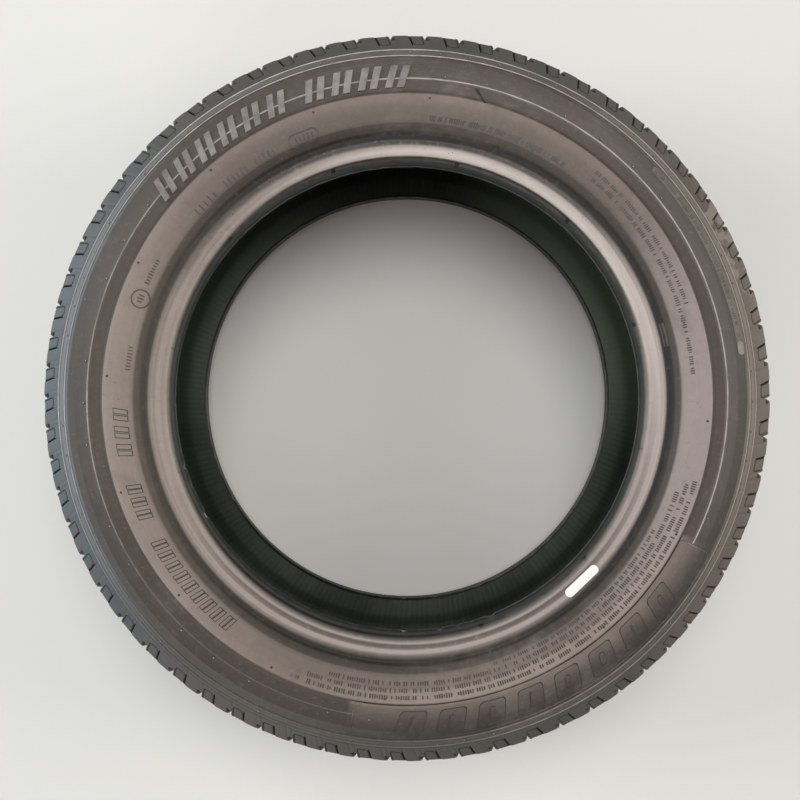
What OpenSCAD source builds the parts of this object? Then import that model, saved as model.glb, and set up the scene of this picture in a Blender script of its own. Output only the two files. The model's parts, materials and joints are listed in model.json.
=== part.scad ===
// Worn tubeless car tyre, 155/65 R14 class, lying flat on its lower sidewall.
// Its axis is Z. The origin is the centre of the underside, where the
// widest part of the lower sidewall meets the ground. Millimetres.

/* [Overall size] */
// Diameter across the worn tread, at the middle
outer_d = 553; // [460:1:680]
// Width of the section at its widest part
section_w = 157; // [130:0.5:200]
// Diameter of the seat on which the bead grips its rim
seat_d = 353.8; // [290:0.1:430]
// Distance between the two bead heels
heel_gap = 130; // [104:0.5:156]

/* [Bead] */
// Width of the straight land of each seat
seat_w = 8; // [6:0.5:9.6]
// How far the toe stands in from the seat, towards the axis
toe_lip = 1.7; // [1:0.1:2.2]
// Width of the lead-in from the toe to the seat
toe_w = 4; // [3:0.5:6]
// Length of the toe's inner face, up to the liner
toe_face = 8; // [6:0.5:10]
// Corner radius of the heel
heel_r = 3.5; // [2.5:0.5:4.5]
// Thickness of the bead, from its outer face to the liner
bead_t = 11; // [9:0.5:13]

/* [Sidewall] */
// Thickness of the wall at its widest part
wall_t = 5.5; // [4.5:0.5:7]
// Thickness of the wall where it turns to the shoulder
shoulder_t = 9.5; // [7.5:0.5:11.5]
// Width of the flat ring at the widest part, on which the tyre rests
rest_w = 6; // [4:0.5:8]
// Drop from the plain band to the sunk band outside it
band_step = 1.6; // [1:0.1:2.2]
// Height of the raised ribs
rib_h = 0.7; // [0.4:0.1:1.2]
// Width of a raised rib at its foot
rib_w = 1.8; // [1:0.1:2.4]

/* [Tread] */
// Width of the tread between its two edges
tread_w = 114; // [94:1:138]
// Drop of the tread from its middle to its edges
tread_drop = 1.8; // [1:0.1:4]
// Thickness through the middle of the tread
crown_t = 12; // [10:0.5:15]
// Distance from the tread's edge to where the liner turns down the wall
belt_margin = 12; // [9:0.5:16]
// Depth of what is left of the main grooves
groove_depth = 4.6; // [3.5:0.1:5.6]
// Width of each main groove
groove_w = 6.6; // [5:0.1:8]
// Distance from the tread's middle to each inner groove
inner_groove = 12.5; // [10:0.5:15]
// Distance from the tread's middle to each outer groove
outer_groove = 35; // [29:0.5:42]
// Height of the wear bars over the floor of the main grooves
wear_bar_h = 1.6; // [1.2:0.1:2]
// Length of a wear bar along its groove
wear_bar_len = 7; // [5:0.5:9]
// Number of wear bars in each groove
wear_bars = 6; // [4:1:8]
// Number of pitches of the pattern around the tread
pitches = 66; // [54:1:80]
// How far the pitches wander from even spacing, in degrees
pitch_wander = 1.6; // [0:0.1:1.9]

/* [Shoulder] */
// Width of the cross slots that open through the shoulder
slot_w = 4.2; // [3:0.1:5.2]
// Depth of the cross slots under the tread's edge
slot_depth = 5.6; // [4.5:0.1:6.8]
// Length of the cross slots along the tread, from its edge
slot_len = 13; // [10:0.5:15.5]
// Diameter of the round scoops between the slots
scoop_d = 10; // [8:0.5:12]
// Depth of the scoops
scoop_depth = 1.2; // [0.8:0.1:1.8]
// Turn from a slot to its scoop, as a share of the pitch
scoop_place = 0.31; // [0.29:0.01:0.7]

/* [Label] */
// Length of the label along the bead, over its round ends
label_len = 31; // [20:1:38]
// Width of the label across the bead
label_w = 5.6; // [4.5:0.1:6.8]
// Thickness of the label
label_t = 0.3; // [0.2:0.05:0.6]
// Thickness of the glue between label and rubber
label_glue = 0.12; // [0.1:0.01:0.3]
// Where the label's middle is, turned from +X
label_turn = -46; // [-180:1:180]

/* [Hidden] */
$fn = 96;

crown_r = outer_d / 2;
half_w = section_w / 2;
seat_r = seat_d / 2;
heel_z = heel_gap / 2;
edge_z = tread_w / 2;
edge_r = crown_r - tread_drop;
wall_h = edge_r - seat_r;      // height of the sidewall, seat to tread edge
flare = half_w - heel_z;       // how far the wall stands out past the heel
lean = half_w - edge_z;        // how far it stands out past the tread edge

// A place on the lower sidewall: up is the share of the wall's height above
// the seat, and out the share of the flare beyond the heel.
function lower_at(up, out) = [seat_r + up * wall_h, heel_z + out * flare];
// A place on the upper sidewall: out is the share of the lean past the edge.
function upper_at(up, out) = [seat_r + up * wall_h, edge_z + out * lean];

// Places that other features share
bulge_top = lower_at(0.151, 0.37);     // outer edge of the bulge over the bead
band_foot = lower_at(0.195, 0.26);     // valley between bulge and plain band
band_inner = lower_at(0.256, 0.86);    // inner edge of the plain band
rest_r = seat_r + 0.365 * wall_h;      // middle of the flat resting ring
band_outer = upper_at(0.478, 0.95);    // outer edge of the plain band
sunk_outer = upper_at(0.592, 0.84);    // outer edge of the sunk band
style_rib = upper_at(0.603, 0.83);     // rib that closes the sunk band
wall_middle = upper_at(0.705, 0.70);   // middle of the upper wall
wall_break = upper_at(0.796, 0.54);    // where the wall turns to the shoulder
shoulder_in = upper_at(0.873, 0.34);   // inner edge of the shoulder

// The bulge's face runs straight from the heel to bulge_top. The rounding
// of the heel takes heel_reach off the end of the straight seat.
heel = [seat_r, heel_z];
bulge_slope = atan2(bulge_top[1] - heel[1], bulge_top[0] - heel[0]);
heel_reach = heel_r * tan((90 - bulge_slope) / 2);
seat_foot = [seat_r, heel_z - heel_reach - seat_w];
toe = seat_foot - [toe_lip, toe_w];
shoulder_run = (shoulder_in - wall_break) / norm(shoulder_in - wall_break);

// ---- Outline with rounded corners ----

// Unit vector from a to b
function toward(a, b) = (b - a) / norm(b - a);
// Signed turn of the path a, b, c in degrees
function turn(a, b, c) =
    let (u = toward(a, b), v = toward(b, c))
    atan2(u[0] * v[1] - u[1] * v[0], u[0] * v[0] + u[1] * v[1]);
// Arc that rounds corner b of the path a, b, c, with the radius limited so
// that the arc takes less than half of each side
function round_corner(a, b, c, radius) =
    let (t = turn(a, b, c))
    radius == 0 || abs(t) < 1 ? [b] :
    let (
        room = 0.49 * min(norm(b - a), norm(c - b)),
        reach = min(radius * tan(abs(t) / 2), room),
        r = reach / tan(abs(t) / 2),
        u = toward(a, b),
        side = t > 0 ? [-u[1], u[0]] : [u[1], -u[0]],
        start = b - reach * u,
        centre = start + r * side,
        steps = max(2, ceil(abs(t) / 16))
    )
    [for (i = [0:steps])
        let (a_i = t * i / steps, d = start - centre)
        centre + [d[0] * cos(a_i) - d[1] * sin(a_i), d[0] * sin(a_i) + d[1] * cos(a_i)]];
// Rounds each corner [place, radius] of an open path; its ends stay sharp
function rounded(path) =
    let (last = len(path) - 1)
    [for (i = [0:last]) each
        i == 0 || i == last ? [path[i][0]]
        : round_corner(path[i - 1][0], path[i][0], path[i + 1][0], path[i][1])];
// Low rib whose foot starts at place, on a wall that runs along a direction
function rib(place, along) =
    let (out = [-along[1], along[0]])
    [
        [place, 0],
        [place + 0.3 * rib_w * along + rib_h * out, 0],
        [place + 0.6 * rib_w * along + rib_h * out, 0],
        [place + rib_w * along, 0]
    ];
function mirrored(points) = [for (i = [len(points) - 1:-1:0]) [points[i][0], -points[i][1]]];

// ---- Half section, from the middle of the liner round to the tread ----

function liner_half() = [
    [[crown_r - crown_t, 0], 0],
    [[edge_r - crown_t, edge_z - belt_margin], 26],
    [wall_break - shoulder_t * [0.6, 0.8], 24],
    [[rest_r + rest_w, half_w - wall_t], 20],
    [[rest_r - rest_w, half_w - wall_t], 14],
    [band_foot - [1, bead_t], 16],
    [toe + toe_face * [0.9, 0.44], 4]
];
function bead_half() = [
    [toe, 0.6],
    [seat_foot, 0],
    [heel, heel_r],
    [bulge_top, 2.5],
    [band_foot, 2.2]
];
function wall_half() = [
    [band_inner, 2.5],
    [[rest_r - rest_w / 2, half_w], 0],
    [[rest_r + rest_w / 2, half_w], 0],
    [band_outer, 1],
    [band_outer + [1.8, -band_step], 1],
    [sunk_outer, 1],
    [style_rib + [0.3, rib_h - 0.2], 0.3],
    [style_rib + [rib_w, -0.2], 0],
    [wall_middle, 40],
    each rib(wall_break, shoulder_run),
    each rib(shoulder_in - 1.2 * rib_w * shoulder_run, shoulder_run),
    [shoulder_in, 3]
];
function tread_half() = [
    [[edge_r - 1.5, edge_z + 1.5], 4],
    [[edge_r, edge_z - 2], 3],
    [[crown_r - 0.25 * tread_drop, edge_z / 2], 160],
    [[crown_r, 0], 0]
];
function half_section() =
    rounded(concat(liner_half(), bead_half(), wall_half(), tread_half()));

module section() {
    upper = half_section();
    polygon(concat(upper, mirrored([for (i = [1:len(upper) - 2]) upper[i]])));
}

// ---- Pattern of the tread ----

// Angle of pitch i: long and short pitches follow each other in three waves
function pitch_turn(i) =
    360 * i / pitches + pitch_wander * (sin(3 * 360 * i / pitches) + sin(5 * 360 * i / pitches)) / 2;

// One of the grooves that run round the tread. Its walls lean outwards and
// low bars cross its floor, to show when the tread is worn out.
module main_groove(z) {
    floor_r = crown_r - groove_depth;
    top_r = crown_r + 1;
    draft = 0.8;
    difference() {
        rotate_extrude()
            polygon([
                [floor_r, z - groove_w / 2 + draft],
                [top_r, z - groove_w / 2],
                [top_r, z + groove_w / 2],
                [floor_r, z + groove_w / 2 - draft]
            ]);
        for (i = [0:wear_bars - 1])
            rotate([0, 0, (i + 0.5) * 360 / wear_bars])
                translate([floor_r - 1, -wear_bar_len / 2, z - groove_w])
                    cube([1 + wear_bar_h, wear_bar_len, 2 * groove_w]);
    }
}
// Slot across the edge of the tread, open through the shoulder
module cross_slot() {
    translate([edge_r - slot_depth, -slot_w / 2, edge_z - slot_len])
        cube([slot_depth + tread_drop + 5, slot_w, slot_len + lean]);
}
// Round shallow scoop, square to the face of the shoulder
module shoulder_scoop() {
    tread_edge = [edge_r, edge_z];
    face = toward(shoulder_in, tread_edge);
    middle = tread_edge - 0.35 * scoop_d * face;
    translate([middle[0], 0, middle[1]])
        rotate([0, atan2(-face[1], face[0]), 0])
            translate([0, 0, -scoop_depth])
                cylinder(h = 4 * scoop_depth, d = scoop_d);
}
module shoulder_pattern() {
    for (i = [0:pitches - 1]) {
        step = pitch_turn(i + 1) - pitch_turn(i);
        rotate([0, 0, pitch_turn(i)]) cross_slot();
        rotate([0, 0, pitch_turn(i) + scoop_place * step]) shoulder_scoop();
    }
}

// ---- Pieces ----

module tyre() {
    color([0.20, 0.19, 0.18])
        translate([0, 0, half_w])
            difference() {
                rotate_extrude() section();
                for (side = [-1, 1]) {
                    main_groove(side * inner_groove);
                    main_groove(side * outer_groove);
                }
                shoulder_pattern();
                rotate([0, 0, 180 / pitches]) mirror([0, 0, 1]) shoulder_pattern();
            }
}

// Thin label with round ends, glued along the straight face of the upper bulge
module bead_label() {
    along = toward(heel, bulge_top);
    out = [-along[1], along[0]];
    edge_margin = 1.4;
    outer_edge = bulge_top - edge_margin * along;
    middle_r = outer_edge[0] - label_w / 2;
    sheet_w = 3 * label_w;
    color([0.90, 0.91, 0.90])
        translate([0, 0, half_w])
            rotate([0, 0, label_turn])
                intersection() {
                    rotate_extrude()
                        translate(outer_edge + label_glue * out)
                            rotate(bulge_slope)
                                translate([-0.8 * sheet_w, 0])
                                    square([sheet_w, label_t]);
                    linear_extrude(section_w)
                        translate([middle_r, 0])
                            stadium(label_w, label_len);
                }
}
// Rectangle with round ends, its length along Y
module stadium(wide, long) {
    square([wide, long - wide], center = true);
    for (side = [-1, 1])
        translate([0, side * (long - wide) / 2]) circle(d = wide);
}

tyre();
bead_label();
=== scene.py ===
"""An old worn car tyre that lies flat on its lower sidewall, seen from straight above.

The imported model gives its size. The rubber is four closed rings: the casing with its
sidewalls, beads and liner, the ribs in the middle of the tread, and the two shoulders. Low
plates, bars and rows of small marks stand on the upper sidewall, and Geometry Nodes make
the rows. Sizes are in millimetres until a mesh is made.
"""
import json
import math

import bpy
import numpy as np
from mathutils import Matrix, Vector


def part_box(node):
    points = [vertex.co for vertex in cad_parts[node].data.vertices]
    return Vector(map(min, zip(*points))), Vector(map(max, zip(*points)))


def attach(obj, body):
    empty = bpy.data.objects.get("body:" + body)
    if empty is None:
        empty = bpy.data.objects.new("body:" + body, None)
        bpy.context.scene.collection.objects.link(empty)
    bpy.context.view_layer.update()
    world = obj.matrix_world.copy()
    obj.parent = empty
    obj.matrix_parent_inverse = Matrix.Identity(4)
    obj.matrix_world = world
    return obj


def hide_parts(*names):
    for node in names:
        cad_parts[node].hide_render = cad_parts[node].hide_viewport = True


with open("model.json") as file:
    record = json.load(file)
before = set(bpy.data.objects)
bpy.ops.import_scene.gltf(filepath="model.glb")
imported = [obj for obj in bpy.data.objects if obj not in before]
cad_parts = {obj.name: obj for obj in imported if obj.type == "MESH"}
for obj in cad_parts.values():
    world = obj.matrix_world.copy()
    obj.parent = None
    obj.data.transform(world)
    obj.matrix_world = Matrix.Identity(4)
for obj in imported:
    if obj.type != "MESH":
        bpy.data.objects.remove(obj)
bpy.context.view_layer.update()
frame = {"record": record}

camera = bpy.data.objects.new("camera", bpy.data.cameras.new("camera"))
bpy.context.scene.collection.objects.link(camera)
bpy.context.scene.camera = camera
camera.location = (-0.0028, 0.0032, 0.7895)      # 711 mm above the middle of the tyre
camera.data.lens = 39.0
camera.data.sensor_width = 36.0
camera.data.shift_x, camera.data.shift_y = -0.0043, -0.0073
camera.data.clip_start = 0.01
bpy.context.scene.view_settings.view_transform = "Standard"

# ---------------------------------------------------------------- sizes, in millimetres

MM = 0.001
tyre_low, tyre_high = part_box("tyre")
CROWN_R = (tyre_high[0] - tyre_low[0]) / 2 / MM
HALF_W = (tyre_high[2] - tyre_low[2]) / 2 / MM
SEAT_R = frame["record"]["mounts"][0]["dims"]["r_mm"]

TREAD_DROP = 1.8          # drop of the tread from its middle to its edges
CROWN_T = 12.0            # thickness in the middle of the tread
EDGE_Z = 57.0             # half the width of the tread
HEEL_Z = 65.0             # half the distance between the bead heels
SEAT_W = 8.0              # width of the straight seat
TOE = (1.7, 4.0)          # how far the toe stands in from the seat, and down from it
HEEL_ROUND = 3.5          # corner radius of the heel
WALL_T = 5.5              # thickness of the wall at its widest
SHOULDER_T = 9.5          # thickness where the wall turns to the shoulder
BEAD_T = 11.0             # thickness from the bead's outer face to the liner
REST_HALF = 3.0           # half the width of the flat ring on which the tyre rests
BAND_STEP = 1.6           # drop from the plain band to the sunk band
RIB_H, RIB_W = 0.7, 1.8   # the raised ribs of the wall
GROOVE_DEPTH, GROOVE_W = 4.6, 6.6
GROOVE_DRAFT = 0.8        # how much narrower each side of a groove is at its floor
GROOVE_WEAR = 0.25        # how far the edges along the grooves are rubbed down
INNER_GROOVE, OUTER_GROOVE = 12.5, 35.0      # from the middle of the tread to each groove
WEAR_BARS, WEAR_BAR_LEN, WEAR_BAR_H = 6, 7.0, 1.6     # in each groove, their length and height
PITCHES = 66              # pitches of the pattern round the tread
PITCH_WANDER = 1.6        # degrees
SLOT_W, SLOT_DEPTH, SLOT_LEN = 4.2, 5.6, 13.0     # the cross slots at the tread's edges
UNDER_TREAD = 0.6         # rubber between the slots and the casing ring

EDGE_R = CROWN_R - TREAD_DROP
WALL_H = EDGE_R - SEAT_R
FLARE = HALF_W - HEEL_Z
LEAN = HALF_W - EDGE_Z
BASE_R = EDGE_R - SLOT_DEPTH - UNDER_TREAD   # where the tread rings sit on the casing
GROOVE_FLOOR_R = CROWN_R - GROOVE_DEPTH


def lower_at(up, out):
    """A place on the lower wall, as shares of the wall's height and of its flare."""
    return np.array([SEAT_R + up * WALL_H, HEEL_Z + out * FLARE])


def upper_at(up, out):
    """A place on the upper wall, as shares of the wall's height and of its lean."""
    return np.array([SEAT_R + up * WALL_H, EDGE_Z + out * LEAN])


HEEL = np.array([SEAT_R, HEEL_Z])
BULGE_TOP = lower_at(0.151, 0.37)
BAND_FOOT = lower_at(0.195, 0.26)
BAND_INNER = lower_at(0.256, 0.86)
REST_R = SEAT_R + 0.365 * WALL_H
REST_IN, REST_OUT = (REST_R - REST_HALF, HALF_W), (REST_R + REST_HALF, HALF_W)
BAND_OUTER = upper_at(0.478, 0.95)
SUNK_OUTER = upper_at(0.582, 0.848)
STYLE_RIB = upper_at(0.592, 0.838)
WALL_MIDDLE = upper_at(0.705, 0.70)
WALL_BREAK = upper_at(0.780, 0.568)
SHOULDER_IN = upper_at(0.856, 0.384)


def unit(vector):
    return vector / np.linalg.norm(vector)


SHOULDER_RUN = unit(SHOULDER_IN - WALL_BREAK)
SHOULDER_OUT = np.array([-SHOULDER_RUN[1], SHOULDER_RUN[0]])
UNDER_SHOULDER = SHOULDER_IN + [1.5, -6]
WALL_END = SHOULDER_IN + 1.2 * SHOULDER_RUN - 0.8 * SHOULDER_OUT    # under the shoulder's edge
bulge_face = unit(BULGE_TOP - HEEL)
heel_reach = HEEL_ROUND * math.tan((math.pi / 2 - math.atan2(bulge_face[1], bulge_face[0])) / 2)
SEAT_FOOT = np.array([SEAT_R, HEEL_Z - heel_reach - SEAT_W])
TOE_TIP = SEAT_FOOT - np.array(TOE)
LINER_END = TOE_TIP + [3, 1.4]


# ---------------------------------------------------------------- outlines

def round_corner(a, b, c, radius, turn_step):
    """The arc that rounds corner b of the path a, b, c."""
    u, v = unit(b - a), unit(c - b)
    turn = math.atan2(u[0] * v[1] - u[1] * v[0], u @ v)
    if radius == 0 or abs(turn) < math.radians(1):
        return [b]
    room = 0.49 * min(np.linalg.norm(b - a), np.linalg.norm(c - b))
    reach = min(radius * math.tan(abs(turn) / 2), room)
    bend = reach / math.tan(abs(turn) / 2)
    side = np.array([-u[1], u[0]]) * math.copysign(1, turn)
    start = b - reach * u
    centre = start + bend * side
    steps = max(2, math.ceil(abs(turn) / math.radians(turn_step)))
    arc = []
    for i in range(steps + 1):
        t = turn * i / steps
        d = start - centre
        arc.append(centre + np.array([d[0] * math.cos(t) - d[1] * math.sin(t),
                                      d[0] * math.sin(t) + d[1] * math.cos(t)]))
    return arc


def rounded(path, turn_step=12):
    """Rounds the inner corners of an open path of (place, radius) pairs."""
    places = [np.asarray(place, float) for place, _ in path]
    points = [places[0]]
    for i in range(1, len(path) - 1):
        points += round_corner(places[i - 1], places[i], places[i + 1], path[i][1], turn_step)
    points.append(places[-1])
    return np.array(points)


def spaced(points, longest):
    """Adds points so that no step along the path is longer than longest."""
    out = [points[0]]
    for a, b in zip(points[:-1], points[1:]):
        steps = max(1, math.ceil(np.linalg.norm(b - a) / longest))
        out += [a + (b - a) * k / steps for k in range(1, steps + 1)]
    return np.array(out)


def rib(place, along):
    """A low rib whose foot starts at place, on a wall that runs along a direction."""
    out = np.array([-along[1], along[0]])
    return [(place, 0), (place + 0.3 * RIB_W * along + RIB_H * out, 0),
            (place + 0.6 * RIB_W * along + RIB_H * out, 0), (place + RIB_W * along, 0)]


def liner_path():
    return [
        ((CROWN_R - CROWN_T, 0), 0),
        ((EDGE_R - CROWN_T, EDGE_Z - 12), 26),
        (WALL_BREAK - SHOULDER_T * np.array([0.6, 0.8]), 24),
        ((REST_R + 6, HALF_W - WALL_T), 20),
        ((REST_R - 6, HALF_W - WALL_T), 14),
        (BAND_FOOT - [1, BEAD_T], 16),
        (TOE_TIP + [7.2, 3.5], 4),
        (LINER_END, 0),
    ]


def bead_path():
    """From the toe over the seat and heel; the bulge is two soft swells with a dip between."""
    out = np.array([-bulge_face[1], bulge_face[0]])
    length = np.linalg.norm(BULGE_TOP - HEEL)

    def on_face(share, proud):
        return HEEL + share * length * bulge_face + proud * out
    return [
        (LINER_END, 0), (TOE_TIP, 0.6), (SEAT_FOOT, 0), (HEEL, HEEL_ROUND),
        (on_face(0.36, 0.35), 8), (on_face(0.60, -0.55), 3), (on_face(0.80, 0.25), 5),
        (on_face(0.97, -0.35), 5), (BAND_FOOT - [0, 0.4], 2.2), (BAND_INNER, 2.5), (REST_IN, 0),
    ]


def band_path():
    """The plain band with its flat resting ring, then the step down to the sunk band."""
    return [(BAND_INNER, 2.5), (REST_IN, 0), (REST_OUT, 0), (BAND_OUTER, 1),
            (BAND_OUTER + [1.8, -BAND_STEP], 1), (SUNK_OUTER, 1)]


def wall_path():
    return [
        *band_path(),
        (STYLE_RIB + [0.3, RIB_H - 0.2], 0.3),
        (STYLE_RIB + [RIB_W, -0.2], 0),
        (WALL_MIDDLE, 40),
        *rib(WALL_BREAK, SHOULDER_RUN),
        *rib(SHOULDER_IN - 1.2 * RIB_W * SHOULDER_RUN, SHOULDER_RUN),
        (WALL_END, 0),
    ]


def base_path():
    """The hidden face under the tread rings."""
    return [(WALL_END, 0), (UNDER_SHOULDER, 0), ((BASE_R, EDGE_Z - 5), 0), ((BASE_R, 0), 0)]


def thinned(points, tolerance):
    """Drops the places that the straight lines between the others already pass through."""
    points = np.asarray(points)
    kept, first = [0], 0
    while first < len(points) - 1:
        last = first + 1
        while last + 1 < len(points):
            chord = points[last + 1] - points[first]
            between = points[first + 1:last + 1] - points[first]
            length = max(np.linalg.norm(chord), 1e-9)
            if np.abs(chord[0] * between[:, 1] - chord[1] * between[:, 0]).max() / length > tolerance:
                break
            last += 1
        kept.append(last)
        first = last
    return points[kept]


# The rows of the casing's mesh. They stray from the path by no more than the first number,
# and lie no further apart than the second.
liner_rows = spaced(thinned(rounded(liner_path(), 10), 0.3), 20)
bead_rows = spaced(thinned(rounded(bead_path(), 10)[1:], 0.045), 3.2)
wall_rows = spaced(thinned(rounded(wall_path(), 12)[2:], 0.03), 4.5)
base_rows = spaced(thinned(rounded(base_path()), 0.1), 60)


def closed_outline(*paths):
    """Joins paths end to start and mirrors them to the lower half, as one closed loop."""
    upper = [paths[0][0]]
    for path in paths:
        upper += [p for p in path if np.linalg.norm(p - upper[-1]) > 1e-6]
    upper = np.array(upper)
    lower = upper[-2:0:-1] * [1, -1]
    return np.vstack([upper, lower])


def doubled_area(r, z):
    """Twice the area inside a closed outline, negative where it runs clockwise."""
    return np.sum(r * np.roll(z, -1) - np.roll(r, -1) * z)


def outward(outline):
    """The direction out of the rubber at each place of a closed outline."""
    ahead = np.roll(outline, -1, axis=0) - np.roll(outline, 1, axis=0)
    way = math.copysign(1, doubled_area(outline[:, 0], outline[:, 1]))
    out = np.stack([ahead[:, 1], -ahead[:, 0]], axis=1) * way
    return out / np.linalg.norm(out, axis=1, keepdims=True)


def proudness(outline):
    """How far each place of a closed outline stands out of its surroundings, in millimetres."""
    closed = np.vstack([outline, outline[:1]])
    steps = np.linalg.norm(np.diff(closed, axis=0), axis=1)
    along = np.concatenate([[0], np.cumsum(steps)])
    offsets = np.linspace(-2.2, 2.2, 23)
    weight = np.exp(-offsets ** 2 / 2)
    weight /= weight.sum()
    smooth = np.zeros_like(outline)
    for offset, share in zip(offsets, weight):
        at = (along[:-1] + offset) % along[-1]
        for axis in range(2):
            smooth[:, axis] += share * np.interp(at, along, closed[:, axis])
    return np.sum((outline - smooth) * outward(outline), axis=1)


# ---------------------------------------------------------------- noise that is the same each run

def waves(angle, seed, lowest, highest, count=8):
    """A smooth random curve round the tyre, about -1 to 1, that closes on itself."""
    rng = np.random.default_rng(seed)
    total = np.zeros_like(angle)
    for _ in range(count):
        turns = rng.integers(lowest, highest + 1)
        total += rng.uniform(0.4, 1.0) * np.sin(turns * angle + rng.uniform(0, 2 * math.pi))
    return total / math.sqrt(count) / 0.75


def rise(value, low, high):
    """Smoothly 0 below low and 1 above high."""
    t = np.clip((value - low) / (high - low), 0, 1)
    return t * t * (3 - 2 * t)


def bump(value, middle, width):
    """1 at the middle, falling away on both sides as a bell does."""
    return np.exp(-((value - middle) / width) ** 2)


def beyond_corner(past_x, past_y, round_r):
    """Distance outside a rounded corner, from the distances past its two sides; negative inside."""
    dx, dy = past_x + round_r, past_y + round_r
    return np.hypot(np.maximum(dx, 0), np.maximum(dy, 0)) + np.minimum(np.maximum(dx, dy), 0) - round_r


def within(angle, start, end, soft):
    """1 between two angles in degrees, 0 outside them, with soft ends."""
    middle, half = (start + end) / 2, (end - start) / 2
    away = np.abs((np.degrees(angle) - middle + 180) % 360 - 180)
    return 1 - rise(away, half, half + soft)


# ---------------------------------------------------------------- meshes

def face_outwards(mesh):
    """Turns all faces round if a closed mesh came out inside out."""
    mesh.calc_loop_triangles()
    triangles = np.empty(len(mesh.loop_triangles) * 3, dtype=np.int32)
    mesh.loop_triangles.foreach_get("vertices", triangles)
    places = np.empty(len(mesh.vertices) * 3)
    mesh.vertices.foreach_get("co", places)
    a, b, c = np.moveaxis(places.reshape(-1, 3)[triangles.reshape(-1, 3)], 1, 0)
    if np.sum(a * np.cross(b, c)) < 0:
        mesh.flip_normals()


def new_object(name, vertices, faces, smooth_below=38):
    """A mesh object from places in millimetres above the mid-plane."""
    mesh = bpy.data.meshes.new(name)
    lifted = (np.asarray(vertices) + [0, 0, HALF_W]) * MM
    mesh.from_pydata(lifted.tolist(), [], faces)
    mesh.update()
    face_outwards(mesh)
    mesh.shade_smooth()
    mesh.set_sharp_from_angle(angle=math.radians(smooth_below))
    item = bpy.data.objects.new(name, mesh)
    bpy.context.scene.collection.objects.link(item)
    return item


def set_attribute(item, name, values):
    layer = item.data.attributes.new(name, "FLOAT", "POINT")
    layer.data.foreach_set("value", np.ascontiguousarray(values, dtype=np.float32).ravel())


def closed_ring(name, radius, height, angle, smooth_below=38):
    """A closed ring from grids of radius, height and angle, each columns by rows."""
    columns, rows = radius.shape
    places = np.stack([radius * np.cos(angle), radius * np.sin(angle), height], axis=-1).reshape(-1, 3)
    column, row = np.meshgrid(np.arange(columns), np.arange(rows), indexing="ij")
    next_column, next_row = (column + 1) % columns, (row + 1) % rows
    corners = [column * rows + row, next_column * rows + row,
               next_column * rows + next_row, column * rows + next_row]
    faces = np.stack(corners, axis=-1).reshape(-1, 4)
    mean_r, mean_z = radius.mean(axis=0), height.mean(axis=0)
    if doubled_area(mean_r, mean_z) < 0:
        faces = faces[:, ::-1]
    return new_object(name, places, faces.tolist(), smooth_below)


def grids(outline, columns):
    """The radius and the height of an outline's places, repeated for each column."""
    return [np.repeat(outline[None, :, axis], columns, axis=0) for axis in range(2)]


# ---------------------------------------------------------------- casing

CASING_COLUMNS = 600
PANEL = (-100.0, -27.0)               # the raised panel, from and to, in degrees from +X
HEEL_TICKS = 12                       # fine notches round each heel
TICK_START, TICK_HALF = -12, 0.26     # where the first one is, and half its width, in degrees
MARK_ROOM = 0.55                      # how far the band makes room for its marks


def band_drop(r):
    """How far the upper plain band sits below the model's top, to make room for its marks."""
    return np.interp(r, [BAND_INNER[0], REST_IN[0], REST_OUT[0], BAND_OUTER[0]], [0, MARK_ROOM, MARK_ROOM, 0])


def build_casing():
    outline = closed_outline(liner_rows, bead_rows, wall_rows, base_rows)
    angles = 2 * math.pi * np.arange(CASING_COLUMNS) / CASING_COLUMNS
    radius, height = grids(outline, CASING_COLUMNS)
    angle = np.repeat(angles[:, None], len(outline), axis=1)
    side = np.sign(height)
    row_r, row_z = outline[:, 0], outline[:, 1]
    inner_count = len(liner_rows) - 1
    order = np.arange(len(outline))
    is_liner = (order < inner_count) | (order > len(outline) - inner_count)
    is_lined = (order <= inner_count) | (order >= len(outline) - inner_count)
    # the style rib stops where the panel stands
    on_rib = bump(row_r - STYLE_RIB[0], 0.6, 1.1) * (row_z > 0) * ~is_liner
    gaps = within(angle, *PANEL, 1.0)
    height -= 0.75 * gaps * on_rib[None, :]
    # the wall is a little uneven where the plies lap
    wall = bump(row_r, 228, 22) * ~is_liner
    uneven = 0.22 * (waves(angle, 3, 2, 9) - 1.1) * wall[None, :]
    height += side * uneven * rise(np.abs(row_r - REST_R), 3, 12)
    # the heel is notched where the mould was vented
    heel = bump(row_r - SEAT_R, 1.9, 1.4) * (np.abs(row_z) > HEEL_Z - 2) * ~is_liner
    tick_turn = 360 / HEEL_TICKS
    from_tick = (np.degrees(angle) - TICK_START + tick_turn / 2) % tick_turn - tick_turn / 2
    tick = np.abs(from_tick) < TICK_HALF
    height -= side * 0.5 * tick * heel[None, :]
    # the toe is torn where it was levered over a rim
    toe = bump(row_r, TOE_TIP[0], 1.4) * (np.abs(row_z) < SEAT_FOOT[1] + 0.5) * ~is_liner
    torn = rise(waves(angle, 11, 20, 90, 14), 0.55, 1.2)
    torn *= 0.25 + within(angle, -104, -60, 5) + 0.7 * within(angle, -166, -130, 8)
    radius += 1.1 * torn * toe[None, :]
    height += side * 0.8 * torn * toe[None, :]
    height -= band_drop(radius) * (side > 0)
    casing = closed_ring("casing", radius, height, angle)
    # negative at the heel's notches, so the wall finish paints shade in them as in other creases
    set_attribute(casing, "proud", proudness(outline)[None, :] - 0.55 * tick * heel[None, :])
    set_attribute(casing, "inner", np.repeat(is_lined[None, :].astype(float), CASING_COLUMNS, axis=0))
    set_attribute(casing, "torn", torn * toe[None, :])
    return casing


# ---------------------------------------------------------------- tread

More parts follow.
